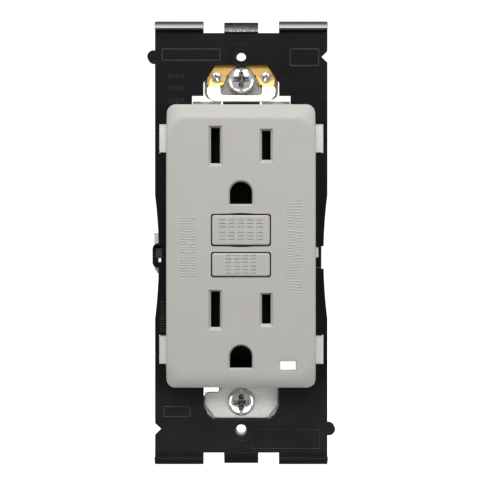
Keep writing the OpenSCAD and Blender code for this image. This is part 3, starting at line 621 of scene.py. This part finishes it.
def outline(width, top, bottom, radius, y, steps, bulge=0.0, lower=None):
    """Round-cornered outline at depth y, with steps in each corner.

    bulge bows the top and bottom edges outward in the middle; lower is the radius of the
    lower corners where it differs.
    """
    points = []
    for corner in range(4):
        r = lower if lower is not None and corner > 1 else radius
        cx = (width / 2 - r) * (1 if corner in (0, 3) else -1)
        cz = top - r if corner < 2 else bottom + r
        for i in range(steps + 1):
            a = math.radians(corner * 90 + i * 90 / steps)
            points.append((cx + r * math.cos(a), y, cz + r * math.sin(a)))
        if bulge and corner in (0, 2):
            edge, sign = (top, 1) if corner == 0 else (bottom, -1)
            half = width * BULGE_HALF
            for i in range(1, 12):
                x = sign * half * (1 - i / 6)
                points.append((x, y, edge + sign * bulge * (1 - (x / half) ** 2)))
    return points


def lathe_mesh(name, profile, x, y, z, sides=64, closed=False):
    """Surface turned about an axis along Y through x, z.

    profile holds each ring's radius and its depth beyond y.
    """
    n = len(profile)
    verts, faces = [], []
    for i in range(sides):
        a = 2 * math.pi * i / sides
        verts += [(x + r * math.cos(a), y + d, z + r * math.sin(a)) for r, d in profile]
    for i in range(sides):
        j = (i + 1) % sides
        faces += [
            (i * n + k, i * n + (k + 1) % n, j * n + (k + 1) % n, j * n + k)
            for k in range(n if closed else n - 1)
        ]
    if not closed:
        faces.append(tuple(i * n for i in range(sides)))
        faces.append(tuple(i * n + n - 1 for i in range(sides))[::-1])
    return mesh_from(name, verts, faces)


def carve(piece, cutters):
    """Takes the cutters out of the piece's mesh for good."""
    for tool in cutters:
        modifier = piece.modifiers.new("cut", "BOOLEAN")
        modifier.object = tool
        modifier.operation = "DIFFERENCE"
        modifier.solver = "EXACT"
    shape = piece.evaluated_get(bpy.context.evaluated_depsgraph_get())
    mesh = bpy.data.meshes.new_from_object(shape)
    piece.modifiers.clear()
    piece.data = mesh
    for tool in cutters:
        bpy.data.objects.remove(tool)
    shade(mesh)
    return keep_flat(piece)


# ---------- the face ----------

# The crown: the top falls away along a curve and then a straight slope, the bottom along a
# curve, and the sides are rounded. The corners widen towards the front.
TOP_REACH, TOP_STRAIGHT, TOP_SLOPE = 4.2 * MM, 2.6 * MM, 0.65
BOTTOM_REACH, BOTTOM_SLOPE = 3.6 * MM, 0.577
SIDE_REACH, SIDE_DEPTH = 0.8 * MM, 0.45 * MM
CORNER_BACK, CORNER_FRONT = 2.3 * MM, 5.2 * MM
TOP_CURVE = TOP_SLOPE / (2 * (TOP_REACH - TOP_STRAIGHT))
TOP_KNEE = TOP_CURVE * (TOP_REACH - TOP_STRAIGHT) ** 2
TOP_DEPTH = TOP_KNEE + TOP_SLOPE * TOP_STRAIGHT
BOTTOM_CURVE = BOTTOM_SLOPE / (2 * BOTTOM_REACH)
BOTTOM_DEPTH = BOTTOM_CURVE * BOTTOM_REACH**2
RIM = 1.5 * MM  # thickness of the face's side walls

# How far each opening is widened at each depth behind the face's front, in mm.
SLOT_FLARE = ((0.95, -0.3), (0.65, 0.0), (0.57, 0.05), (0.05, 0.7), (0.0, 0.78), (0.0, 2.1))
GROUND_FLARE = ((0.75, -0.3), (0.47, 0.0), (0.38, 0.05), (0.04, 0.6), (0.0, 0.7), (0.0, 2.1))
WINDOW_FLARE = ((0.3, -0.3), (0.12, -0.02), (0.04, 0.04), (0.0, 0.14), (0.0, 2.2))


def top_inset(d):
    """How far the top edge lies inside the rim at depth d."""
    if d < TOP_KNEE:
        return TOP_REACH - math.sqrt(d / TOP_CURVE)
    return max(0.0, TOP_STRAIGHT - (d - TOP_KNEE) / TOP_SLOPE)


def bottom_inset(d):
    return max(0.0, BOTTOM_REACH - math.sqrt(d / BOTTOM_CURVE))


def side_inset(d):
    t = max(0.0, 1 - d / SIDE_DEPTH)
    return SIDE_REACH * (1 - math.sqrt(1 - t * t))


def face_ring(d):
    """The face's outline at depth d."""
    grow = CORNER_FRONT - CORNER_BACK
    return outline(
        FACE_W - 2 * side_inset(d),
        FACE_HI.z - top_inset(d),
        FACE_LO.z + bottom_inset(d),
        CORNER_BACK + grow * max(0.0, 1 - d / TOP_DEPTH),
        FACE_Y + d,
        steps=16,
        lower=CORNER_BACK + grow * max(0.0, 1 - d / BOTTOM_DEPTH),
    )


def slot_cutter(width, height, x, z):
    """Blade slot whose front edge is flared, most of all below it."""
    rings = []
    for grow, depth in SLOT_FLARE:
        w, y = width / 2 + grow * MM, FACE_Y + depth * MM
        top, bottom = z + height / 2 + 0.7 * grow * MM, z - height / 2 - 1.3 * grow * MM
        rings.append([(x + w, y, bottom), (x + w, y, top), (x - w, y, top), (x - w, y, bottom)])
    return cutter(loft_mesh("slot", rings))


def ground_cutter(z):
    """Ground hole: round above and square below, with a flared front edge."""
    rings = []
    for grow, depth in GROUND_FLARE:
        r = GROUND_R + grow * MM
        y = FACE_Y + depth * MM
        angles = [math.pi * i / 24 for i in range(25)]
        ring = [(r * math.cos(a), y, z + r * math.sin(a)) for a in angles]
        rings.append(ring + [(-r, y, z - r), (r, y, z - r)])
    return cutter(loft_mesh("ground", rings))


def window_cutter(size, x, z, radius, bulge=0.0):
    """Straight opening with a softened rim."""
    width, height = size
    rings = []
    for grow, depth in WINDOW_FLARE:
        ring = outline(
            width + 2 * grow * MM,
            height / 2 + grow * MM,
            -height / 2 - grow * MM,
            radius + grow * MM,
            FACE_Y + depth * MM,
            steps=6,
            bulge=bulge,
        )
        rings.append([(px + x, y, pz + z) for px, y, pz in ring])
    return cutter(loft_mesh("window", rings))


def make_face():
    depths = [0.0, 0.002 * MM, 0.01 * MM, 0.03 * MM, 0.06 * MM]
    depths += [TOP_DEPTH * (i / 24) ** 1.25 for i in range(2, 25)]
    rings = [face_ring(d) for d in depths]
    rings.append([(x, FACE_BACK, z) for x, y, z in face_ring(TOP_DEPTH)])
    mesh = loft_mesh("face", rings)
    face = new_object("face_cover_finished", mesh, "grey_face", ROOT, ["face_cover"])
    cavity = box_mesh(
        "cavity",
        (FACE_LO.x + RIM, FACE_Y + WALL, FACE_LO.z + RIM + 1.0 * MM),
        (FACE_HI.x - RIM, FACE_BACK + MM, FACE_HI.z - RIM - 1.6 * MM),
    )
    cutters = [cutter(cavity)]
    for z in BLADE_LINES:
        cutters.append(slot_cutter(*LONG_SLOT, -BLADE_X - 0.05 * MM, z))
        cutters.append(slot_cutter(*SHORT_SLOT, BLADE_X, z + 0.05 * MM))
        cutters.append(ground_cutter(z - GROUND_DROP))
    cutters.append(window_cutter(RESET_OPENING, 0, RESET.z, 0.6 * MM, bulge=0.2 * MM))
    cutters.append(window_cutter(TEST_OPENING, 0, TEST.z, 0.6 * MM))
    cutters.append(window_cutter(LENS_OPENING, LENS_X, LENS_Z, 0.12 * MM))
    carve(face, cutters)


make_face()


# ---------- buttons, their marks and the lens ----------

BUTTON_GAP = 0.27 * MM
BUTTON_ROUND = 0.42 * MM
BUTTON_CORNER = 0.62 * MM
MARK_H = 1.75 * MM
MARK_SPACE = 0.26  # what the last mark leaves empty, as a share of the pitch
GROOVE_R = 0.2 * MM
GROOVE_DEEPER = 1.3  # the grooves' section is this much deeper than round
GROOVE_ENDS = (0.04, 0.7)  # as shares of the pitch
GROOVE_ROWS = (-0.5, 0.0, 0.5)  # as shares of the marks' height


def mark_cutter(count, width, place):
    """A row of plain marks on a front face, each of three short round-bottomed grooves.

    They stand where the photograph has lettering and spell nothing.
    """
    pitch = width / (count - MARK_SPACE)
    curve = bpy.data.curves.new("marks", "CURVE")
    curve.dimensions = "3D"
    curve.bevel_depth = GROOVE_R
    curve.bevel_resolution = 2
    curve.use_fill_caps = True
    for k in range(count):
        for v in GROOVE_ROWS:
            spline = curve.splines.new("POLY")
            spline.points.add(1)
            for point, u in zip(spline.points, GROOVE_ENDS):
                x = place[0] - width / 2 + (k + u) * pitch
                point.co = (x, place[1], place[2] + v * MARK_H, 1)
    strokes = bpy.data.objects.new("marks", curve)
    SCENE.collection.objects.link(strokes)
    bpy.context.view_layer.update()
    shape = strokes.evaluated_get(bpy.context.evaluated_depsgraph_get())
    mesh = bpy.data.meshes.new_from_object(shape)
    bpy.data.objects.remove(strokes)
    mesh.transform(
        Matrix.Translation((0, place[1], 0))
        @ Matrix.Diagonal((1, GROOVE_DEEPER, 1, 1))
        @ Matrix.Translation((0, -place[1], 0))
    )
    return cutter(mesh)


def make_button(node, opening, body, count, marks_width, row):
    """Button head with rounded edges and two rows of marks, and the flange that keeps it in."""
    lo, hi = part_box(node)
    z = (lo.z + hi.z) / 2
    w, h = opening[0] - 2 * BUTTON_GAP, opening[1] - 2 * BUTTON_GAP
    rings = []
    for i in range(7):
        a = math.radians(90 - 15 * i)
        inset, depth = BUTTON_ROUND * (1 - math.cos(a)), BUTTON_ROUND * (1 - math.sin(a))
        top, corner = h / 2 - inset, BUTTON_CORNER - inset
        rings.append(outline(w - 2 * inset, top, -h / 2 + inset, corner, lo.y + depth, steps=6))
    back = FACE_Y + WALL + 0.1 * MM
    rings.append(outline(w, h / 2, -h / 2, BUTTON_CORNER, back, steps=6))
    shape = [[(x, y, pz + z) for x, y, pz in ring] for ring in rings]
    head = new_object(f"{node}_finished", loft_mesh(node, shape), "grey_button", body, [node])
    places = [(0, lo.y, z + side * row) for side in (1, -1)]
    carve(head, [mark_cutter(count, marks_width, place) for place in places])
    half_w, half_h = opening[0] / 2 + 0.5 * MM, opening[1] / 2 + 0.45 * MM
    flange = box_mesh(
        "flange", (-half_w, back, z - half_h), (half_w, FACE_Y + WALL + 1.2 * MM, z + half_h)
    )
    new_object(f"{node}_flange", flange, "grey_button", body)


make_button("reset_button", RESET_OPENING, "reset", 5, 11.0 * MM, 1.56 * MM)
make_button("test_button", TEST_OPENING, "test", 4, 7.7 * MM, 1.36 * MM)
finished("indicator_lens", 0.12 * MM)


# ---------- screws with driver recesses and threads ----------

THREAD_SIDES = 32
THREAD_ROWS = 7  # to each turn
THREAD_BLUNT = 0.8 * MM  # length of the blunt tip
TIP_TAPER = 0.45  # how much of the radius the tip loses
FLANK = 2.6  # how steeply the ridge rises along a turn
CREST = 1.25  # over 1, the ridge has a flat crest


def thread_mesh(name, major, minor, length, pitch):
    """Threaded rod along +Y from 0 to length, its ridge winding round it."""
    n = THREAD_SIDES
    rows = int(length / pitch * THREAD_ROWS)
    verts, faces = [], []
    for k in range(rows + 1):
        y = length * k / rows
        shrink = max(0.0, (y - (length - THREAD_BLUNT)) / THREAD_BLUNT) * TIP_TAPER * major
        for i in range(n):
            turn = (y / pitch - i / n) % 1.0
            ridge = max(0.0, 1 - abs(turn - 0.5) * FLANK)
            r = minor + (major - minor) * min(1.0, ridge * CREST) - shrink
            a = 2 * math.pi * i / n
            verts.append((r * math.cos(a), y, r * math.sin(a)))
    for k in range(rows):
        faces += [
            (k * n + i, k * n + (i + 1) % n, (k + 1) * n + (i + 1) % n, (k + 1) * n + i)
            for i in range(n)
        ]
    faces += [tuple(range(n)), tuple(rows * n + i for i in range(n))[::-1]]
    return mesh_from(name, verts, faces, smooth=50)


def head_mesh(r, height, slot_w, cross_w, cross_l):
    """Pan head along -Y from 0, with a slot right across and a cross recess."""
    rim = height * 0.5
    axis = 0.001 * r
    profile = [(axis, 0.0), (r * 0.97, 0.0), (r, -0.05 * height), (r, -rim)]
    steps = 12
    for i in range(1, steps + 1):
        a = math.radians(i * 7.5)
        dome = r * math.cos(a) ** 0.75 if i < steps else axis
        profile.append((dome, -rim - (height - rim) * math.sin(a)))
    head = cutter(lathe_mesh("head", profile, 0, 0, 0, sides=72))
    deep = height * 0.36
    slot_lo = (-slot_w / 2, -height - MM, -r - MM)
    arms = [box_mesh("slot", slot_lo, (slot_w / 2, -height + deep, r + MM))]
    # Each arm of the cross narrows with depth, more in its length than in its width.
    levels = ((-height - 0.3 * MM, 1.0), (-height + deep * 0.6, 0.92), (-height + deep * 1.9, 0.35))
    for wide, tall in ((cross_w, cross_l), (cross_l, cross_w)):
        rings = []
        for y, along in levels:
            across = 0.55 + 0.45 * along
            w = wide / 2 * (along if wide > tall else across)
            t = tall / 2 * (along if tall > wide else across)
            rings.append([(w, y, -t), (w, y, t), (-w, y, t), (-w, y, -t)])
        arms.append(loft_mesh("arm", rings))
    carve(head, [cutter(arm) for arm in arms])
    mesh = head.data
    bpy.data.objects.remove(head)
    return mesh


RIVET_LO, RIVET_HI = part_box("bonding_rivets")
RIVET_R = 1.32 * MM
RIVET_H = 0.5 * MM
RIVET_RECESS = (0.02 * MM, 0.42 * MM, 2.1 * MM)
RIVET_SHANK = [(0.8 * MM, 0.0), (0.8 * MM, RIVET_HI.y - RIVET_LO.y - RIVET_H)]
RIVET_TURN = 0.35  # radians that each cross is turned outward


def make_rivet(name, side):
    x, y, z = side * (RIVET_HI.x - RIVET_R), RIVET_LO.y + RIVET_H, (RIVET_LO.z + RIVET_HI.z) / 2
    head = head_mesh(RIVET_R, RIVET_H, *RIVET_RECESS)
    head.transform(Matrix.Translation((x, y, z)) @ Matrix.Rotation(side * RIVET_TURN, 4, "Y"))
    new_object(f"rivet_{name}", head, "spring_steel", stand_for=["bonding_rivets"])
    shank = lathe_mesh("shank", RIVET_SHANK, x, y, z)
    new_object(f"rivet_{name}_shank", shank, "spring_steel")


HEAD_R, HEAD_H = 3.38 * MM, 2.1 * MM
HEAD_RECESS = (HEAD_R * 0.27, HEAD_R * 0.40, HEAD_R * 1.22)
THREAD_R = 1.72 * MM
THREAD_ROOT = THREAD_R * 0.78
NECK_R = THREAD_R * 0.8
NECK = 2.2 * MM  # plain length under the head


def make_box_screw(node):
    """Box screw seated on the strap; its thread begins behind a plain neck."""
    lo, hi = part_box(node)
    seat = Matrix.Translation(((lo.x + hi.x) / 2, STRAP_Y, (lo.z + hi.z) / 2))
    body = frame["nodes"][node]["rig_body"]
    head = head_mesh(HEAD_R, HEAD_H, *HEAD_RECESS)
    head.transform(seat)
    new_object(f"{node}_head", head, "zinc_plate", body, [node])
    length = hi.y - STRAP_Y - NECK
    rod = thread_mesh("thread", THREAD_R, THREAD_ROOT, length, BOX_PITCH)
    rod.transform(seat @ Matrix.Translation((0, NECK, 0)))
    new_object(f"{node}_thread", rod, "zinc_plate", body)
    neck = lathe_mesh("neck", [(NECK_R, -0.05 * MM), (NECK_R, NECK + 0.1 * MM)], 0, 0, 0)
    neck.transform(seat)
    new_object(f"{node}_neck", neck, "zinc_plate", body)


make_rivet("left", -1)
make_rivet("right", 1)
for screw in BOX_SCREWS:
    make_box_screw(screw)


# ---------- low moulded marks, which spell nothing ----------

FACE_MARK_H = 0.1 * MM
SUB_MARK_H = 0.12 * MM
STRAP_MARK_H = 0.06 * MM
RING_H = 0.08 * MM
BURIED = 0.03 * MM  # how far the foot of a mark goes into its surface
SIDE_SLOPE = 0.42  # width of a ridge's sloping side, as a share of the ridge's width
RIB = 0.34 * MM  # thickness of a rib on the face
LINE = 0.42 * MM  # width of an outline on the sub-frame
THIN = 0.3 * MM
RIB_PITCH = 0.62 * MM


def raised_bars(name, bars, y, height, slot):
    """Low ridges, each given by its middle x, z and its width and height, with sloping sides."""
    verts, faces = [], []
    for x, z, w, h in bars:
        n = len(verts)
        slope = SIDE_SLOPE * min(w, h)
        for inset, depth in ((0.0, BURIED), (0.0, 0.0), (slope, -height)):
            hw, hh = w / 2 - inset, h / 2 - inset
            for dx, dz in ((-hw, -hh), (hw, -hh), (hw, hh), (-hw, hh)):
                verts.append((x + dx, y + depth, z + dz))
        faces.append((n, n + 1, n + 2, n + 3))
        faces.append((n + 8, n + 11, n + 10, n + 9))
        for k in (n, n + 4):
            faces += [(k + i, k + 4 + i, k + 4 + (i + 1) % 4, k + (i + 1) % 4) for i in range(4)]
    return new_object(name, mesh_from(name, verts, faces, smooth=10), slot)


def frame_bars(x0, x1, z0, z1, t):
    """Four bars that outline a plain rectangle."""
    x, z, w, h = (x0 + x1) / 2, (z0 + z1) / 2, x1 - x0 + t, z1 - z0 + t
    return [(x, z0, w, t), (x, z1, w, t), (x0, z, t, h), (x1, z, t, h)]


def column(x, z0, z1, width, thick, groups):
    """A column of ribs from z0 up to z1, in groups of the given rib counts."""
    step = (z1 - z0) / (sum(groups) + len(groups) - 1)
    bars, place = [], 0
    for size in groups:
        bars += [(x, z0 + (place + i + 0.5) * step, width, thick) for i in range(size)]
        place += size + 1
    return bars


FACE_RIBS = (
    column(-14.35 * MM, -8.6 * MM, 6.5 * MM, 1.7 * MM, RIB, (8, 14))
    + column(-12.2 * MM, -8.6 * MM, 6.5 * MM, 1.7 * MM, RIB, (8, 4, 9))
    + column(12.35 * MM, -12.0 * MM, 10.1 * MM, 1.6 * MM, RIB, (22, 9))
    + column(14.45 * MM, -12.9 * MM, 10.9 * MM, 1.6 * MM, RIB, (22, 10))
)
SUB_OUTLINES = (
    frame_bars(-20.4 * MM, -5.4 * MM, 47.1 * MM, 50.0 * MM, LINE)
    + frame_bars(12.6 * MM, 20.0 * MM, 45.7 * MM, 50.0 * MM, LINE)
    + frame_bars(-20.0 * MM, -13.2 * MM, -44.9 * MM, -42.3 * MM, LINE)
    + frame_bars(3.0 * MM, 20.2 * MM, -53.1 * MM, -48.3 * MM, THIN)
)
SUB_RIBS = [
    (-18.6 * MM + RIB_PITCH * i, z * MM, THIN, 1.3 * MM)
    for z in (43.0, 39.9, 36.7)
    for i in range(7)
] + [(-20.4 * MM, -15.4 * MM - RIB_PITCH * i, 1.3 * MM, THIN) for i in range(13)]
STRAP_RIBS = column(6.6 * MM, -43.4 * MM, -36.6 * MM, 1.3 * MM, THIN, (5, 3))

# Section of a tapped hole's thread, as radius and depth beyond the strap's rear face, in mm.
HOLE_THREAD = (
    *((1.22, -1.15), (1.44, -0.98), (1.44, -0.92), (1.22, -0.75), (1.22, -0.70), (1.44, -0.52)),
    *((1.44, -0.46), (1.22, -0.28), (1.22, -0.20), (1.44, -0.05), (1.6, -0.05), (1.6, -1.15)),
)


def make_plate_hole(side, z):
    """The low ring round a plate hole in the sub-frame, and the thread in the strap behind it."""
    r, width = 2.75 * MM, 0.4 * MM
    foot, crest = width / 2, width * 0.08
    ring = [
        (r - foot, BURIED),
        (r - foot, 0.0),
        (r - crest, -RING_H),
        (r + crest, -RING_H),
        (r + foot, 0.0),
        (r + foot, BURIED),
    ]
    mesh = lathe_mesh("ring", ring, 0, FLANGE_Y - 0.2 * MM, z, closed=True)
    new_object(f"{side}_hole_ring", mesh, "black_plastic")
    thread = [(radius * MM, depth * MM) for radius, depth in HOLE_THREAD]
    mesh = lathe_mesh("thread", thread, 0, 0, z, closed=True)
    new_object(f"{side}_hole_thread", mesh, "galvanised_steel")


raised_bars("face_ribs", FACE_RIBS, FACE_Y, FACE_MARK_H, "grey_face")
raised_bars("sub_frame_marks", SUB_OUTLINES + SUB_RIBS, FLANGE_Y, SUB_MARK_H, "black_plastic")
raised_bars("strap_marks", STRAP_RIBS, STRAP_Y - 0.8 * MM, STRAP_MARK_H, "galvanised_steel")
make_plate_hole("upper", PLATE_HOLE_Z)
make_plate_hole("lower", -PLATE_HOLE_Z)


# ---------- CAD nodes that show, with softened edges ----------

EDGES = {
    "subplate": 0.22,
    "mounting_strap": 0.14,
    "bonding_plate": 0.12,
    "inner_housing": 0.15,
    "rear_body": 0.35,
    "screw_retainers": 0.1,
    "assembly_screws": 0.08,
    "ground_screw": 0.08,
}
SIDES = ("line_hot", "line_neutral", "load_hot", "load_neutral")
EDGES.update({f"{side}_{part}": 0.08 for part in ("screw", "terminal", "clamp") for side in SIDES})
FINISHED = {node: finished(node, width * MM) for node, width in EDGES.items()}


def ground_throat(z):
    """Squares off the lower half of a ground hole behind the face."""
    half = GROUND_R + 0.4 * MM
    lo = (-half, FACE_BACK - 2 * MM, z - half - 1.2 * MM)
    return cutter(box_mesh("throat", lo, (half, MM, z)))


def back_panel(x0, x1, z0, z1, deep):
    """Shallow rectangular recess in the back."""
    return cutter(box_mesh("panel", (x0, REAR_Y - deep, z0), (x1, REAR_Y + MM, z1)))


def make_back_marks():
    """Shallow recesses in the back: a plain label field, a strip gauge and four ejector marks."""
    label, gauge = 0.25 * MM, 0.4 * MM
    cutters = [
        back_panel(-9 * MM, 9 * MM, -9 * MM, 9 * MM, label),
        back_panel(-6 * MM, 6 * MM, -19 * MM, -17.6 * MM, gauge),
        back_panel(-6 * MM, -5.4 * MM, -20.4 * MM, -16.2 * MM, gauge),
        back_panel(5.4 * MM, 6 * MM, -20.4 * MM, -16.2 * MM, gauge),
    ]
    ejector = [(1.8 * MM, -0.15 * MM), (1.8 * MM, MM)]
    for x in (-6 * MM, 6 * MM):
        for z in (-27 * MM, 27 * MM):
            cutters.append(cutter(lathe_mesh("disc", ejector, x, REAR_Y, z, sides=40)))
    carve(FINISHED["rear_body"], cutters)


for node in ("inner_housing", "mounting_strap"):
    carve(FINISHED[node], [ground_throat(z - GROUND_DROP) for z in BLADE_LINES])
make_back_marks()


# ---------- coil springs ---------------------------------------

COIL_SIDES = 8
COIL_STEPS = 20  # to each turn


def coil_mesh(name, coil_r, wire_r, length, turns):
    """Open coil along +Z from 0 to length, with a flat close-wound turn at each end."""
    section = [2 * math.pi * k / COIL_SIDES for k in range(COIL_SIDES)]
    rings = []
    for i in range(int(turns * COIL_STEPS) + 1):
        t = i / COIL_STEPS
        free = min(max((t - 1) / (turns - 2), 0.0), 1.0)
        ends = min(t, 1.0) + max(t - (turns - 1), 0.0)
        z = wire_r + 2.1 * wire_r * ends + free * (length - 2 * wire_r - 4.2 * wire_r)
        a = 2 * math.pi * t
        ring = []
        for b in section:
            r = coil_r + wire_r * math.cos(b)
            ring.append((r * math.cos(a), r * math.sin(a), z + wire_r * math.sin(b)))
        rings.append(ring)
    return loft_mesh(name, rings, smooth=60)


def make_spring(node, axis, wire_r, turns, fixed):
    """Coil in a CAD spring's box along axis 0 (X) or 1 (Y); the fixed argument is not used."""
    lo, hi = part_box(node)
    body = frame["nodes"][node]["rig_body"]
    mesh = coil_mesh(node, (hi.z - lo.z) / 2 - wire_r, wire_r, hi[axis] - lo[axis], turns)
    quarter = math.pi / 2
    turn = Matrix.Rotation(quarter, 4, "Y") if axis == 0 else Matrix.Rotation(-quarter, 4, "X")
    place = (lo + hi) / 2
    place[axis] = lo[axis]
    mesh.transform(Matrix.Translation(place) @ turn)
    piece = new_object(f"{node}_coil", mesh, NODE_SLOT[node], body, [node])
    anchor, along = [0.0, 0.0, 0.0], [0.0, 0.0, 0.0]
    anchor[axis], along[axis] = fixed, 1.0
    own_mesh(piece)


make_spring("reset_spring", 1, 0.28 * MM, 6, FLANGE_Y)
make_spring("test_spring", 1, 0.2 * MM, 5, FLANGE_Y)
for which in ("upper", "lower"):
    make_spring(f"{which}_shutter_spring", 0, 0.18 * MM, 8, 0.0)


# ---------- the looks of every CAD node, by its slot ----------

for node, cad in frame["nodes"].items():
    cad.data.materials.clear()
    cad.data.materials.append(MATERIALS[NODE_SLOT[node]])


# ---------- floor, light and camera ----------

FLOOR_HALF = 3.0
WORLD_STRENGTH = 0.18
GLOSSY_STRENGTH = 0.22
BACKDROP_STRENGTH = 1.15
ORIGIN = (0, 0, 0)
CAMERA_PLACE = (2.27 * MM, -224.7 * MM, -1.86 * MM)
CAMERA_LENS = 61.8
CAMERA_SENSOR = 36


def make_floor():
    """Pale floor level with the part's lowest point, which neither lights nor reflects in it."""
    s = Shader("studio_floor")
    s.colour(s.shades(s.noise(40 * MM), grey(0.90), grey(0.94)))
    s.fixed(Roughness=0.9, Emission_Color=(1, 1, 1, 1), Emission_Strength=1.0)
    half, z = FLOOR_HALF, cad_box[0].z
    corners = [(-half, -half, z), (half, -half, z), (half, half, z), (-half, half, z)]
    mesh = mesh_from("floor", corners, [(0, 1, 2, 3)])
    mesh.materials.append(s.material)
    floor = bpy.data.objects.new("floor", mesh)
    SCENE.collection.objects.link(floor)
    floor.visible_diffuse = False
    floor.visible_glossy = False


def softbox(name, place, target, size, power):
    light = bpy.data.lights.new(name, "AREA")
    light.shape = "RECTANGLE"
    light.size, light.size_y = size
    light.energy = power
    lamp = bpy.data.objects.new(name, light)
    SCENE.collection.objects.link(lamp)
    lamp.location = place
    lamp.rotation_mode = "QUATERNION"
    lamp.rotation_quaternion = (Vector(target) - Vector(place)).to_track_quat("-Z", "Y")
    return lamp


def make_world():
    """White surroundings, of one strength for light, one for reflections and one for the camera."""
    world = bpy.data.worlds.new("studio")
    world.use_nodes = True
    nodes, links = world.node_tree.nodes, world.node_tree.links
    path = nodes.new("ShaderNodeLightPath").outputs
    glossy, backdrop = nodes.new("ShaderNodeMix"), nodes.new("ShaderNodeMix")
    glossy.inputs[2].default_value = WORLD_STRENGTH
    glossy.inputs[3].default_value = GLOSSY_STRENGTH
    links.new(path["Is Glossy Ray"], glossy.inputs[0])
    links.new(glossy.outputs[0], backdrop.inputs[2])
    backdrop.inputs[3].default_value = BACKDROP_STRENGTH
    links.new(path["Is Camera Ray"], backdrop.inputs[0])
    background = nodes["Background"]
    links.new(backdrop.outputs[0], background.inputs["Strength"])
    background.inputs["Color"].default_value = (1, 1, 1, 1)
    SCENE.world = world


def make_light():
    """Soft studio light; the card below shows only in reflections."""
    softbox("key", (0, -0.63, 0.51), ORIGIN, (0.60, 0.35), 3.95)
    softbox("top", (0, -0.20, 0.46), (0, 0, 0.05), (0.36, 0.05), 0.8)
    softbox("left", (-0.55, -0.35, -0.06), ORIGIN, (0.3, 0.5), 1.4)
    softbox("right", (0.55, -0.35, -0.06), ORIGIN, (0.3, 0.5), 1.4)
    card = softbox("card", (0, -0.42, -0.42), ORIGIN, (0.9, 0.35), 2.6)
    card.visible_diffuse = False


def make_camera():
    """Camera straight in front of the face, as the photograph was taken."""
    data = bpy.data.cameras.new("camera")
    data.sensor_width = CAMERA_SENSOR
    data.lens = CAMERA_LENS
    data.clip_start = 0.01
    data.clip_end = 20
    camera = bpy.data.objects.new("camera", data)
    SCENE.collection.objects.link(camera)
    camera.location = CAMERA_PLACE
    camera.rotation_euler = (math.pi / 2, 0, 0)
    SCENE.camera = camera


make_floor()
make_world()
make_light()
make_camera()
SCENE.view_settings.view_transform = "Standard"
